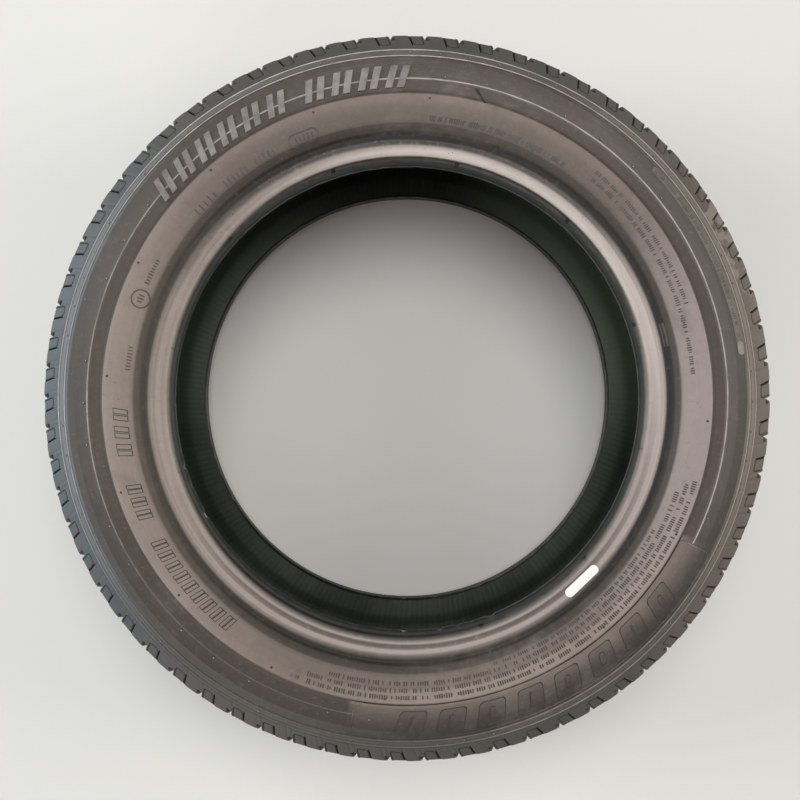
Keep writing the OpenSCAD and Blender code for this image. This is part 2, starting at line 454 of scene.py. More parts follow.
PITCH_MM = 26.0                 # length of a mean pitch round the tread's edge
SHOULDER_LEAN = math.tan(math.radians(18))   # slant of the cuts on the shoulder's face
TREAD_LEAN = 0.22               # slant of the cuts across the tread
SCOOP = (3.2, 12.5)             # the scoop beside each slot, from and to, along the pitch
SCOOP_DEEP = 13.0               # how far the scoop reaches in from the tread's edge
SCOOP_ROUND = 2.6               # radius of the scoop's inner corners
SIPE = (12.6, 13.5)             # the fine cut beside the scoop
SIPE_DEEP = 2.6
RIB_SIPE_DEEP, RIB_NOTCH_DEEP = 3.0, 3.4
HEEL_TOE_WEAR = 0.2             # how much lower one end of each block has worn


def pitch_turn(i):
    """Degrees from +X to pitch i: long and short pitches follow each other."""
    wave = 2 * math.pi * i / PITCHES
    return 360 * i / PITCHES + PITCH_WANDER * (math.sin(3 * wave) + math.sin(5 * wave)) / 2


def pattern_columns(offsets, shift=0.0):
    """Angles of all columns, and each column's place along its pitch in millimetres."""
    offsets = np.asarray(offsets)
    angles = []
    for i in range(PITCHES):
        step = pitch_turn(i + 1) - pitch_turn(i)
        angles.append(np.radians(pitch_turn(i) + shift + offsets / PITCH_MM * step))
    return np.concatenate(angles), np.tile(offsets, PITCHES)


def tread_r(z):
    """Radius of the worn tread at a height above the mid-plane."""
    return CROWN_R - TREAD_DROP * (z / (EDGE_Z - 2)) ** 2


def build_shoulder(name, side):
    """One shoulder of the tread; side is 1 for the upper one and -1 for the lower one."""
    corner = np.array([EDGE_R - 1.5, EDGE_Z + 1.5])
    face = rounded([
        (SHOULDER_IN - 1.0 * SHOULDER_RUN - 0.8 * SHOULDER_OUT, 0),
        (SHOULDER_IN + 0.6 * SHOULDER_RUN, 0),
        (corner, 4), ((EDGE_R, EDGE_Z - 2), 3), ((tread_r(54), 54), 0)], 12)
    groove_in = OUTER_GROOVE + GROOVE_W / 2
    top_z = np.array([52.8, 51.2, 49.2, 47.2, 45.4, 44.15, 43.85, 42.2, 40.6, 40.3, groove_in + 0.5])
    top = np.stack([tread_r(top_z), top_z], axis=1)
    wall = np.array([
        [tread_r(groove_in) - GROOVE_WEAR, groove_in], [GROOVE_FLOOR_R, groove_in - GROOVE_DRAFT],
        [GROOVE_FLOOR_R, OUTER_GROOVE + 1], [GROOVE_FLOOR_R, OUTER_GROOVE]])
    base = np.array([[BASE_R, OUTER_GROOVE], [BASE_R, 44], [BASE_R, EDGE_Z - 5],
                     UNDER_SHOULDER, SHOULDER_IN + [-1.6, -2.6]])
    outline = np.vstack([spaced(face, 0.68), top, wall, base])
    order, shown = np.arange(len(outline)), len(outline) - len(base)
    visible = order < shown
    row_z = outline[:, 1]
    steps = np.linalg.norm(np.diff(outline, axis=0), axis=1)
    along = np.concatenate([[0], np.cumsum(steps)])
    edge_row = int(np.argmax(row_z < EDGE_Z - 1))
    inward = along[edge_row] - along          # distance from the tread's edge, down the shoulder
    on_face = visible & (inward > 0)
    on_tread = visible & ~on_face

    # columns along one pitch, in millimetres from the middle of its slot
    offsets = [-2.25, -2.05, 2.05, 2.25, 2.9,
               3.2, 3.6, 4.1, 4.8, 5.8, 6.9, 7.9, 9.0, 10.0, 10.9, 11.6, 12.1,
               12.55, 12.72, 13.38, 13.55, 14.4, 16.6, 19.0, 21.2, 22.7]
    turns, local = pattern_columns(offsets, 0.0 if side > 0 else 180 / PITCHES)
    radius, height = grids(outline, len(turns))
    lean = np.where(on_face, -SHOULDER_LEAN * inward, 0)
    lean = lean + np.where(on_tread, TREAD_LEAN * (EDGE_Z - row_z), 0)
    lean[~visible] = np.interp(order[~visible], [shown - 1, len(outline)], [lean[shown - 1], lean[0]])
    angle = turns[:, None] + lean[None, :] / EDGE_R

    x = local[:, None]
    y = inward[None, :]
    out = outward(outline)
    # scoop with rounded inner corners, open towards the tread
    past_side = np.abs(x - sum(SCOOP) / 2) - (SCOOP[1] - SCOOP[0]) / 2
    past_end = np.maximum(y, -20) - SCOOP_DEEP
    beyond = beyond_corner(past_side, past_end, SCOOP_ROUND)
    open_end = rise(y, -2.5, -0.5)
    outline_mark = bump(beyond, -0.3, 0.42) * open_end
    sunk = 0.36 * (1 - rise(beyond, -0.45, 0.05)) * open_end + 0.7 * outline_mark
    # fine cut, from inside the shoulder to near the main groove
    in_sipe = (x > SIPE[0]) & (x < SIPE[1])
    reach = (y < SCOOP_DEEP + 0.4) & visible[None, :] & (row_z[None, :] > 40.45)
    sunk = np.where(in_sipe & reach, SIPE_DEEP, sunk)
    # blocks worn lower towards one end, edges rubbed off
    ramp = np.clip((x + 2.3) / PITCH_MM, 0, 1)
    rubbed = 0.22 * bump(np.abs(x), 2.25, 0.25) + 0.12 * bump(x, 13.55, 0.2)
    on_top = on_tread & (row_z > groove_in - 0.1)
    sunk = sunk + np.where(on_top[None, :], HEEL_TOE_WEAR * ramp + rubbed, rubbed * on_face[None, :])
    sunk = sunk * visible[None, :]
    radius -= sunk * out[None, :, 0]
    height -= sunk * out[None, :, 1]
    # slots, open through the shoulder
    in_slot = (np.abs(x) < SLOT_W / 2) & visible[None, :] & (row_z[None, :] > EDGE_Z - SLOT_LEN)
    slot_floor = EDGE_R - SLOT_DEPTH
    cut = in_slot & (radius > slot_floor)
    deep = np.where(cut, radius - slot_floor, sunk)
    radius = np.where(cut, slot_floor, radius)
    # scuffed and uneven edge where the tread meets the shoulder
    uneven = 0.18 * waves(angle, 21 + side, 5, 60, 16) * bump(y, 0, 3.5)
    radius -= np.abs(uneven) * visible[None, :]

    near_edge = bump(np.abs(x), 2.6, 0.5) + bump(x, 14.0, 0.5)
    near_edge = np.clip(near_edge + bump(row_z[None, :] - groove_in, 0.6, 0.6), 0, 1)
    item = closed_ring(name, radius, side * height, angle, 34)
    # the scoop outlines are dark as painted shadow, heavier on one side and at the inner end; the cuts are
    # dark as painted shade with dirt
    heavy = 0.14 + 0.22 * rise(x, 8.0, 11.0) + 0.4 * rise(y, SCOOP_DEEP - 2.8, SCOOP_DEEP - 0.8)
    shade_and_dirt = np.clip(deep / 3 + outline_mark * heavy * on_face, 0, 1)
    set_attribute(item, "deep", shade_and_dirt + 0.9 * (~on_top & on_tread)[None, :])
    set_attribute(item, "rubbed", near_edge * on_top[None, :] + 0.6 * bump(y, 0.5, 1.3) * visible[None, :])
    set_attribute(item, "tread", np.repeat(rise(-inward, -1.5, 1.0)[None, :], len(turns), axis=0))
    return item


def build_ribs():
    """The ribs between the two outer grooves."""
    rib_edges = [(-INNER_GROOVE + GROOVE_W / 2, INNER_GROOVE - GROOVE_W / 2),
                 (INNER_GROOVE + GROOVE_W / 2, OUTER_GROOVE - GROOVE_W / 2)]
    half = [(tread_r(0), 0.0)]
    for z in (2.0, 4.5, 4.8, 7.0, rib_edges[0][1] - 0.5):
        half.append((tread_r(z), z))
    half += [(tread_r(9) - GROOVE_WEAR, rib_edges[0][1]), (GROOVE_FLOOR_R, rib_edges[0][1] + GROOVE_DRAFT),
             (GROOVE_FLOOR_R, INNER_GROOVE), (GROOVE_FLOOR_R, rib_edges[1][0] - GROOVE_DRAFT),
             (tread_r(16) - GROOVE_WEAR, rib_edges[1][0])]
    for z in (rib_edges[1][0] + 0.5, 17.8, 20.4, 23.2, 23.5, 26.0, 27.6, 27.9, 29.8, rib_edges[1][1] - 0.5):
        half.append((tread_r(z), z))
    half += [(tread_r(31) - GROOVE_WEAR, rib_edges[1][1]), (GROOVE_FLOOR_R, rib_edges[1][1] + GROOVE_DRAFT),
             (GROOVE_FLOOR_R, OUTER_GROOVE)]
    half = np.array(half)
    base = np.array([[BASE_R, OUTER_GROOVE], [BASE_R, OUTER_GROOVE / 2], [BASE_R, 0],
                     [BASE_R, -OUTER_GROOVE / 2], [BASE_R, -OUTER_GROOVE]])
    outline = np.vstack([half[::-1] * [1, -1], half[1:], base])
    visible = np.arange(len(outline)) < len(outline) - len(base)
    z_row = outline[:, 1]
    offsets = [-0.5, -0.36, 0.36, 0.5, 3.6, 7.6, 11.5, 11.66,
               14.34, 14.5, 17.2, 20.0, 20.14, 20.86, 21.0, 23.4]
    turns, local = pattern_columns(offsets, 1.2)
    radius, height = grids(outline, len(turns))
    angle = turns[:, None] - (TREAD_LEAN * 1.2 * z_row * visible)[None, :] / EDGE_R
    x, z = local[:, None], z_row[None, :]
    top = visible[None, :] & (radius > CROWN_R - 2.6)
    reach_a = (z > 15) & (z < 26.5) | (z < -15) & (z > -23.3) | (z > -9.5) & (z < -1.9)
    sipe_a = (np.abs(x) < 0.4) & reach_a
    reach_b = (z < -15) & (z > -26.5) | (z > 15) & (z < 23.3) | (z < 9.5) & (z > 1.9)
    sipe_b = (np.abs(x - 20.5) < 0.4) & reach_b
    notch = (np.abs(x - 13) < 1.4) & ((z > 27.7) | (z < -27.7) | (np.abs(z) > 4.7) & (np.abs(z) < 9.5))
    sunk = np.where((sipe_a | sipe_b) & top, RIB_SIPE_DEEP, 0.0)
    sunk = np.maximum(sunk, np.where(notch & top, RIB_NOTCH_DEEP, 0.0))
    sunk = np.where(top, sunk + HEEL_TOE_WEAR * np.clip(x / PITCH_MM, 0, 1), 0)
    radius -= sunk
    item = closed_ring("tread_ribs", radius, height, angle, 34)
    near = bump(np.abs(x - 13), 1.9, 0.6)
    for edge in (*rib_edges[0], *rib_edges[1], -rib_edges[1][0], -rib_edges[1][1]):
        near = near + bump(z, edge, 0.7)
    in_groove = visible & (outline[:, 0] < CROWN_R - 3)
    # the tread finish paints the sipes, notches and grooves dark: painted shade with dirt
    set_attribute(item, "deep", np.clip(sunk / 3, 0, 1) + 0.9 * in_groove[None, :])
    set_attribute(item, "rubbed", np.clip(near, 0, 1) * top)
    set_attribute(item, "tread", np.ones_like(radius))
    return item


# ---------------------------------------------------------------- the wall's outer face

wall_face = np.vstack([rounded(bead_path(), 10)[1:], rounded([
    *band_path(), (STYLE_RIB + [RIB_W, -0.2], 0), (WALL_MIDDLE, 40), (WALL_BREAK, 0),
    (SHOULDER_IN, 0)], 12)[2:]])
wall_face = wall_face[wall_face[:, 0] > SEAT_R + 0.5]
wall_face = wall_face[np.argsort(wall_face[:, 0])]


def wall_z(r):
    """Height of the upper wall, without its ribs, above the mid-plane."""
    return np.interp(r, wall_face[:, 0], wall_face[:, 1]) - band_drop(r)


def wall_tilt(r, span=1.5):
    """Slope of the upper wall at a radius, in radians, positive where it falls outwards."""
    return -np.arctan2(wall_z(r + span) - wall_z(r - span), 2 * span)


def on_wall(r, angle, proud):
    """Places on the upper wall, standing proud of it by a distance."""
    tilt = wall_tilt(r)
    out_r = r + proud * np.sin(tilt)
    return np.stack([out_r * np.cos(angle), out_r * np.sin(angle), wall_z(r) + proud * np.cos(tilt)], axis=-1)


def closed_pad(name, r, angle, proud, sunk, smooth_below=38):
    """A closed pad over the wall: grids of radius and angle, with how proud its top stands."""
    rows, columns = r.shape
    top = on_wall(r, angle, proud).reshape(-1, 3)
    bottom = on_wall(r, angle, np.full_like(r, -sunk)).reshape(-1, 3)
    count = rows * columns
    row, column = np.meshgrid(np.arange(rows - 1), np.arange(columns - 1), indexing="ij")
    a = (row * columns + column).ravel()
    quads = np.stack([a, a + columns, a + columns + 1, a + 1], axis=-1)
    faces = [tuple(q) for q in quads.tolist()] + [tuple(q[::-1]) for q in (quads + count).tolist()]
    rim = list(range(columns)) + [k * columns + columns - 1 for k in range(1, rows)]
    rim += [(rows - 1) * columns + k for k in range(columns - 2, -1, -1)]
    rim += [k * columns for k in range(rows - 2, 0, -1)]
    for here, there in zip(rim, rim[1:] + rim[:1]):
        faces.append((here, there, there + count, here + count))
    return new_object(name, np.vstack([top, bottom]), faces, smooth_below)


# ---------------------------------------------------------------- raised panel and bold bars

PANEL_R = (224.9, 252.2)              # the panel's inner and outer radius
BAR_LEAN = math.tan(math.radians(17))
PLATE_FOOT = 0.8                      # how deep a plate reaches into the wall


def box_edge(x, y, half_x, half_y, round_r):
    """Distance to the edge of a rectangle with round corners, negative inside."""
    return beyond_corner(np.abs(x) - half_x, np.abs(y) - half_y, round_r)


def build_plate(name, turn_range, r_range, round_r, shape, step=1.5, grow=0.0, lean=0.0, rim_wear_and_shade=0.0):
    """A low plate with round corners on the wall; shape gives its height from x, y and edge distance."""
    start, end = np.radians(turn_range)
    mid_r = sum(r_range) / 2
    half_x, half_y = (end - start) / 2 * mid_r + grow, (r_range[1] - r_range[0]) / 2 + grow
    fine = np.array([0, 0.25, 0.5, 0.8, 1.1, 1.5, 2.0])
    across = np.concatenate([np.arange(-half_y + 2.0, half_y - 2.0, step), fine - half_y, half_y - fine])
    along = np.concatenate([np.arange(-half_x + 2.0, half_x - 2.0, step), fine - half_x, half_x - fine])
    y, x = np.meshgrid(np.unique(across.round(3)), np.unique(along.round(3)), indexing="ij")
    near_end = np.clip((np.abs(x) - (half_x - round_r)) / round_r, 0, 1)
    limit = half_y - round_r * (1 - np.sqrt(1 - near_end ** 2))
    y = y * np.maximum(limit, 0.05) / half_y
    edge = box_edge(x, y, half_x, half_y, round_r)
    turn = (start + end) / 2 + (x - lean * y) / mid_r
    item = closed_pad(name, mid_r + y, turn, shape(x, y, edge), PLATE_FOOT)
    # a pale rim, worn and with painted highlight, and painted shade along the plate's foot
    rim = rim_wear_and_shade * (bump(edge, -1.0, 0.6) - 3 * bump(edge, -0.1, 0.3))
    set_attribute(item, "proud", np.concatenate([rim.ravel(), np.zeros(rim.size)]))
    return item


def rimmed(face, rim_h):
    """A flat face with a fine raised rim."""
    return lambda x, y, edge: np.where(edge > -0.2, 0.03, face + rim_h * bump(edge, -0.9, 0.4))


def build_pads(name, count, turn_range, r_range, width, lean, feet):
    """Slanted pads with a slot in each, or the thin dark feet that they stand on, painted shadow round each
    pad and its slot.
    """
    pads = []
    mid_r = sum(r_range) / 2
    for i in range(count):
        middle = turn_range[0] + (turn_range[1] - turn_range[0]) * (i + 0.5) / count
        half = math.degrees(width / 2 / mid_r)
        slot_x, slot_y = (2.7, 5.4) if i % 3 != 1 else (1.2, 6.4)

        def shape(x, y, edge):
            slot = box_edge(x, y, slot_x, slot_y, slot_x * 0.8)
            if feet:
                return np.where(np.abs(slot + 0.25) < 0.45, 0.5, np.where(edge > -0.1, 0.0, 0.22))
            return np.where(edge > -0.2, 0.12, 0.7) - 0.4 * (1 - rise(slot, -0.5, 0.2))
        pads.append(build_plate(f"{name}_{i + 1}", (middle - half, middle + half), r_range, 3.2, shape, 0.8,
                                0.55 if feet else 0.0, lean))
    joined = join(name, pads)
    set_attribute(joined, "sooty", np.ones(len(joined.data.vertices)))
    return joined


def join(name, items):
    """Joins plain mesh objects into one."""
    vertices, faces, spent = [], [], []
    for item in items:
        first = len(vertices)
        vertices += [tuple(v.co) for v in item.data.vertices]
        faces += [tuple(first + k for k in face.vertices) for face in item.data.polygons]
        spent.append(item.data)
        bpy.data.objects.remove(item)
    mesh = bpy.data.meshes.new(name)
    mesh.from_pydata(vertices, [], faces)
    mesh.shade_smooth()
    mesh.set_sharp_from_angle(angle=math.radians(32))
    for old in spent:
        bpy.data.meshes.remove(old)
    joined = bpy.data.objects.new(name, mesh)
    bpy.context.scene.collection.objects.link(joined)
    return joined


def wall_loop(name, middle_r, middle_turn, half_x, half_y, round_r, width, proud):
    """A thin raised outline on the wall: a rectangle with round corners, or a circle."""
    corner = [(sx * (half_x - round_r), sy * (half_y - round_r), start)
              for sx, sy, start in ((1, 1, 0), (-1, 1, 90), (-1, -1, 180), (1, -1, 270))]
    path = []
    for cx, cy, start in corner:
        for k in range(9):
            turn = math.radians(start + 90 * k / 8)
            out_x, out_y = math.cos(turn), math.sin(turn)
            place = (cx + round_r * out_x, cy + round_r * out_y, out_x, out_y)
            if not path or math.dist(place[:2], path[-1][:2]) > 1e-3:
                path.append(place)
    if math.dist(path[0][:2], path[-1][:2]) < 1e-3:
        path.pop()
    section = [(-width / 2, -0.3), (-width / 2, proud * 0.7), (-width / 4, proud), (width / 4, proud),
               (width / 2, proud * 0.7), (width / 2, -0.3)]
    vertices, faces = [], []
    for x, y, out_x, out_y in path:
        for side, lift in section:
            px, py = x + side * out_x, middle_r + y + side * out_y
            r, turn = math.hypot(px, py), math.radians(middle_turn) + math.atan2(px, py)
            vertices.append(on_wall(np.array(r), np.array(turn), lift))
    size = len(section)
    for k in range(len(path)):
        for m in range(size):
            a, b = k * size, ((k + 1) % len(path)) * size
            faces.append((a + m, b + m, b + (m + 1) % size, a + (m + 1) % size))
    return new_object(name, np.array(vertices), faces, 30)


def bold_bars(name, bars, lift, sunk=0.7, corner=0.3, lean=BAR_LEAN):
    """Slanted raised bars over the wall; each is (middle in degrees, inner r, outer r, width)."""
    vertices, faces = [], []
    stations = 9
    for middle, r_in, r_out, width in bars:
        half = width / 2
        ring = [(-half, -sunk), (-half, lift - corner), (-half + corner, lift),
                (half - corner, lift), (half, lift - corner), (half, -sunk)]
        r = np.linspace(r_in, r_out, stations)
        r = np.concatenate([[r_in, r_in + corner], r[1:-1], [r_out - corner, r_out]])
        ends = np.zeros(len(r))
        ends[0] = ends[-1] = corner
        first = len(vertices)
        mid_r = (r_in + r_out) / 2
        for k, radius in enumerate(r):
            for side, proud in ring:
                turn = math.radians(middle) + (side - lean * (radius - mid_r)) / radius
                height = proud - (ends[k] if proud > 0 else 0)
                vertices.append(on_wall(np.array(radius), np.array(turn), height))
        size = len(ring)
        for k in range(len(r) - 1):
            for m in range(size):
                a, b = first + k * size + m, first + k * size + (m + 1) % size
                faces.append((a, b, b + size, a + size))
        faces.append(tuple(first + m for m in range(size))[::-1])
        last = first + (len(r) - 1) * size
        faces.append(tuple(last + m for m in range(size)))
    return new_object(name, np.array(vertices), [face[::-1] for face in faces], 30)


def bar_run(start, end, r_in, r_out, widths, gaps):
    """Bars of the given widths, each followed by its gap, spread over an arc."""
    mid_r = (r_in + r_out) / 2
    scale = math.radians(end - start) * mid_r / (sum(widths) + sum(gaps[:len(widths) - 1]))
    bars, at = [], 0.0
    for width, gap in zip(widths, gaps):
        middle = start + math.degrees((at + width / 2) * scale / mid_r)
        bars.append((middle, r_in, r_out, width * abs(scale)))
        at += width + gap
    return bars


# ---------------------------------------------------------------- label

LABEL_LEN, LABEL_W = 31.2, 6.3        # over its round ends, and across


def build_label():
    """The thin label with round ends on the upper bead, one corner a little lifted."""
    low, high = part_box("bead_label")
    centre = np.array([(low[0] + high[0]) / 2, (low[1] + high[1]) / 2]) / MM
    turn = math.atan2(centre[1], centre[0]) - 0.005
    middle_r = np.linalg.norm(centre) - 0.3
    x = LABEL_LEN / 2 * np.sin(np.linspace(-1, 1, 41) * math.pi / 2)
    across = np.linspace(-1, 1, 7)
    straight = (LABEL_LEN - LABEL_W) / 2
    round_end = np.sqrt(np.maximum((LABEL_W / 2) ** 2 - (np.abs(x) - straight) ** 2, 1e-3))
    half = np.where(np.abs(x) < straight, LABEL_W / 2, round_end)
    y = across[:, None] * half[None, :]
    x = np.repeat(x[None, :], len(across), axis=0)
    px, py = middle_r + y, x
    r, angle = np.hypot(px, py), turn + np.arctan2(py, px)
    lifted = 0.5 * rise(x, LABEL_LEN / 2 - 4.5, LABEL_LEN / 2) * rise(y, -1, 2.5)
    item = closed_pad("label", r, angle, 0.45 + lifted, -0.12, 50)
    set_attribute(item, "along", np.concatenate([(x / LABEL_LEN).ravel()] * 2))
    set_attribute(item, "across", np.concatenate([(y / LABEL_W).ravel()] * 2))
    return item


# ---------------------------------------------------------------- node trees

class Wire:
    """An output of a node. Sums and products of wires add Math nodes to the tree."""

    def __init__(self, graph, socket):
        self.graph = graph
        self.socket = socket

    def math(self, operation, *values, first=None):
        ordered = [self, *values] if first is None else [first, self]
        return self.graph.node("ShaderNodeMath", {"operation": operation}, ordered)

    def __add__(self, other): return self.math("ADD", other)
    def __radd__(self, other): return self.math("ADD", other)
    def __sub__(self, other): return self.math("SUBTRACT", other)
    def __rsub__(self, other): return self.math("SUBTRACT", first=other)
    def __mul__(self, other): return self.math("MULTIPLY", other)
    def __rmul__(self, other): return self.math("MULTIPLY", other)
    def __truediv__(self, other): return self.math("DIVIDE", other)
    def __rtruediv__(self, other): return self.math("DIVIDE", first=other)
    def __pow__(self, other): return self.math("POWER", other)

    def above(self, low, high):
        """Smoothly 0 below low and 1 above high."""
        settings = {"interpolation_type": "SMOOTHSTEP", "clamp": True}
        ends = {"From Min": low, "From Max": high, "To Min": 0.0, "To Max": 1.0}
        return self.graph.node("ShaderNodeMapRange", settings, {"Value": self, **ends})

    def below(self, low, high):
        """Smoothly 1 below low and 0 above high."""
        return 1.0 - self.above(low, high)

    def hump(self, middle, half):
        """1 at middle, falling smoothly to 0 at half away from it."""
        return (self - middle).math("ABSOLUTE").below(0.0, half)


class Graph:
    """A shader or geometry node tree that is being built."""

    def __init__(self, tree):
        self.tree = tree
        tree.nodes.clear()

    def node(self, kind, settings=None, inputs=(), out=0):
        """Adds a node: its settings first, then the values or links of its inputs."""
        node = self.tree.nodes.new(kind)
        for name, value in (settings or {}).items():
            if name == "stops":
                self.set_stops(node.color_ramp, value)
            else:
                setattr(node, name, value)
        pairs = inputs.items() if isinstance(inputs, dict) else enumerate(inputs)
        for key, value in pairs:
            if isinstance(value, Wire):
                self.tree.links.new(value.socket, node.inputs[key])
            else:
                node.inputs[key].default_value = value
        return Wire(self, node.outputs[out]) if len(node.outputs) else None

    @staticmethod
    def set_stops(ramp, stops):
        while len(ramp.elements) > 1:
            ramp.elements.remove(ramp.elements[-1])
        ramp.elements[0].position = stops[0][0]
        ramp.elements[0].color = stops[0][1]
        for position, color in stops[1:]:
            ramp.elements.new(position).color = color

    def vector(self, x, y, z):
        return self.node("ShaderNodeCombineXYZ", inputs=[x, y, z])

    def blend(self, amount, first, second):
        """Mixes two colours."""
        return self.node("ShaderNodeMix", {"data_type": "RGBA"}, {0: amount, 6: first, 7: second}, out=2)


# ---------------------------------------------------------------- repeated marks

def marks_tree(name, round_marks):
    """Geometry Nodes: small raised marks in a row round the axis, each on a thin foot of its own material,
    darker on the wall as painted shadow round the mark.
    """
    tree = bpy.data.node_groups.new(name, "GeometryNodeTree")
    graph = Graph(tree)
    floats = ("Radius", "Height", "Tilt", "From", "To", "Long", "Tall", "Thick", "Foot", "Foot Thick",
              "Lean", "Uneven", "Kept", "Word", "Long Word")
    kinds = dict.fromkeys(floats, "NodeSocketFloat")
    kinds.update({"Count": "NodeSocketInt", "Seed": "NodeSocketInt",
                  "Material": "NodeSocketMaterial", "Foot Material": "NodeSocketMaterial"})
    for title, kind in kinds.items():
        tree.interface.new_socket(title, in_out="INPUT", socket_type=kind)
    tree.interface.new_socket("Geometry", in_out="OUTPUT", socket_type="NodeSocketGeometry")
    entry = tree.nodes.new("NodeGroupInput")
    given = {title: Wire(graph, entry.outputs[title]) for title in kinds}

    def random_between(low, high, seed):
        return graph.node("FunctionNodeRandomValue", {"data_type": "FLOAT"},
                          {2: low, 3: high, 8: given["Seed"] + seed}, out=1)

    index = graph.node("GeometryNodeInputIndex")
    share = (index + 0.5) / given["Count"]
    turn = given["From"] + (given["To"] - given["From"]) * share
    r = given["Radius"]
    place = graph.vector(r * turn.math("COSINE"), r * turn.math("SINE"), given["Height"])
    points = graph.node("GeometryNodePoints", None, {"Count": given["Count"], "Position": place})
    if round_marks:
        shape = graph.node("GeometryNodeMeshCylinder", {"fill_type": "NGON"},
                           {"Vertices": 12, "Radius": 0.5, "Depth": 1.0})
    else:
        shape = graph.node("GeometryNodeMeshCube", None, {"Size": (1.0, 1.0, 1.0)})
    kept = graph.node("FunctionNodeRandomValue", {"data_type": "BOOLEAN"},
                      {6: given["Kept"], 8: given["Seed"]}, out=3)
    # a gap after every so many marks, as between words
    for every in ("Word", "Long Word"):
        kept = kept * (index + given["Seed"]).math("MODULO", given[every]).math("GREATER_THAN", 0.5)
    low = 1.0 - given["Uneven"]
    tall = given["Tall"] * random_between(low, 1.0, 1)
    long = given["Long"] * random_between(low, 1.0, 2)
    turned = graph.vector(0.0, given["Tilt"], turn)
    leaned = graph.node("FunctionNodeRotateRotation", {"rotation_space": "LOCAL"},
                        {"Rotation": turned, "Rotate By": graph.vector(0.0, 0.0, given["Lean"])})

    def layer(size, material):
        row = {"Points": points, "Selection": kept, "Instance": shape, "Rotation": leaned, "Scale": size}
        placed = graph.node("GeometryNodeInstanceOnPoints", None, row)
        real = graph.node("GeometryNodeRealizeInstances", None, {"Geometry": placed})
        return graph.node("GeometryNodeSetMaterial", None, {"Geometry": real, "Material": material})

    tops = layer(graph.vector(tall, long, given["Thick"]), given["Material"])
    foot_size = graph.vector(tall + given["Foot"], long + given["Foot"], given["Foot Thick"])
    feet = layer(foot_size, given["Foot Material"])
    joined = tree.nodes.new("GeometryNodeJoinGeometry")
    for part in (feet, tops):
        tree.links.new(part.socket, joined.inputs["Geometry"])
    leave = tree.nodes.new("NodeGroupOutput")
    tree.links.new(joined.outputs["Geometry"], leave.inputs["Geometry"])
    return tree


def grown(name, tree, values):
    """Runs a geometry tree with named values and keeps its result as a plain mesh."""
    holder = bpy.data.objects.new(name, bpy.data.meshes.new(name))
    bpy.context.scene.collection.objects.link(holder)
    growth = holder.modifiers.new("growth", "NODES")
    growth.node_group = tree
    for entry in tree.interface.items_tree:
        if entry.item_type == "SOCKET" and entry.in_out == "INPUT" and entry.name in values:
            growth[entry.identifier] = values[entry.name]
    depsgraph = bpy.context.evaluated_depsgraph_get()
    result = bpy.data.meshes.new_from_object(holder.evaluated_get(depsgraph))
    holder.modifiers.remove(growth)
    holder.data = result
    holder.data.name = name
    return holder


NO_BREAK = 9999.0             # a word longer than any row
EVEN_ROW = {"Lean": 0.0, "Uneven": 0.0, "Kept": 1.0, "Word": NO_BREAK, "Long Word": NO_BREAK, "Seed": 1}


def mark_row(name, tree, tops, feet, r, turns, count, long, tall, proud, **more):
    """One row of small marks on the upper wall; turns are degrees from +X, sizes millimetres."""
    values = {"Radius": r * MM, "Height": float(wall_z(r) + HALF_W) * MM, "Tilt": float(wall_tilt(r)),
              "From": math.radians(turns[0]), "To": math.radians(turns[1]), "Count": count,
              "Long": long * MM, "Tall": tall * MM, "Thick": 2 * proud * MM, "Foot": 0.7 * MM,
              "Foot Thick": 0.16 * MM, "Material": tops, "Foot Material": feet}
    return grown(name, tree, {**EVEN_ROW, **values, **more})


# ---------------------------------------------------------------- colours and materials

def rgb(red, green, blue):
    """A colour as it shows on a screen, 0 to 255, made linear."""
    linear = [v / 12.92 if v <= 0.04045 else ((v + 0.055) / 1.055) ** 2.4
              for v in (red / 255, green / 255, blue / 255)]
    return (*linear, 1.0)


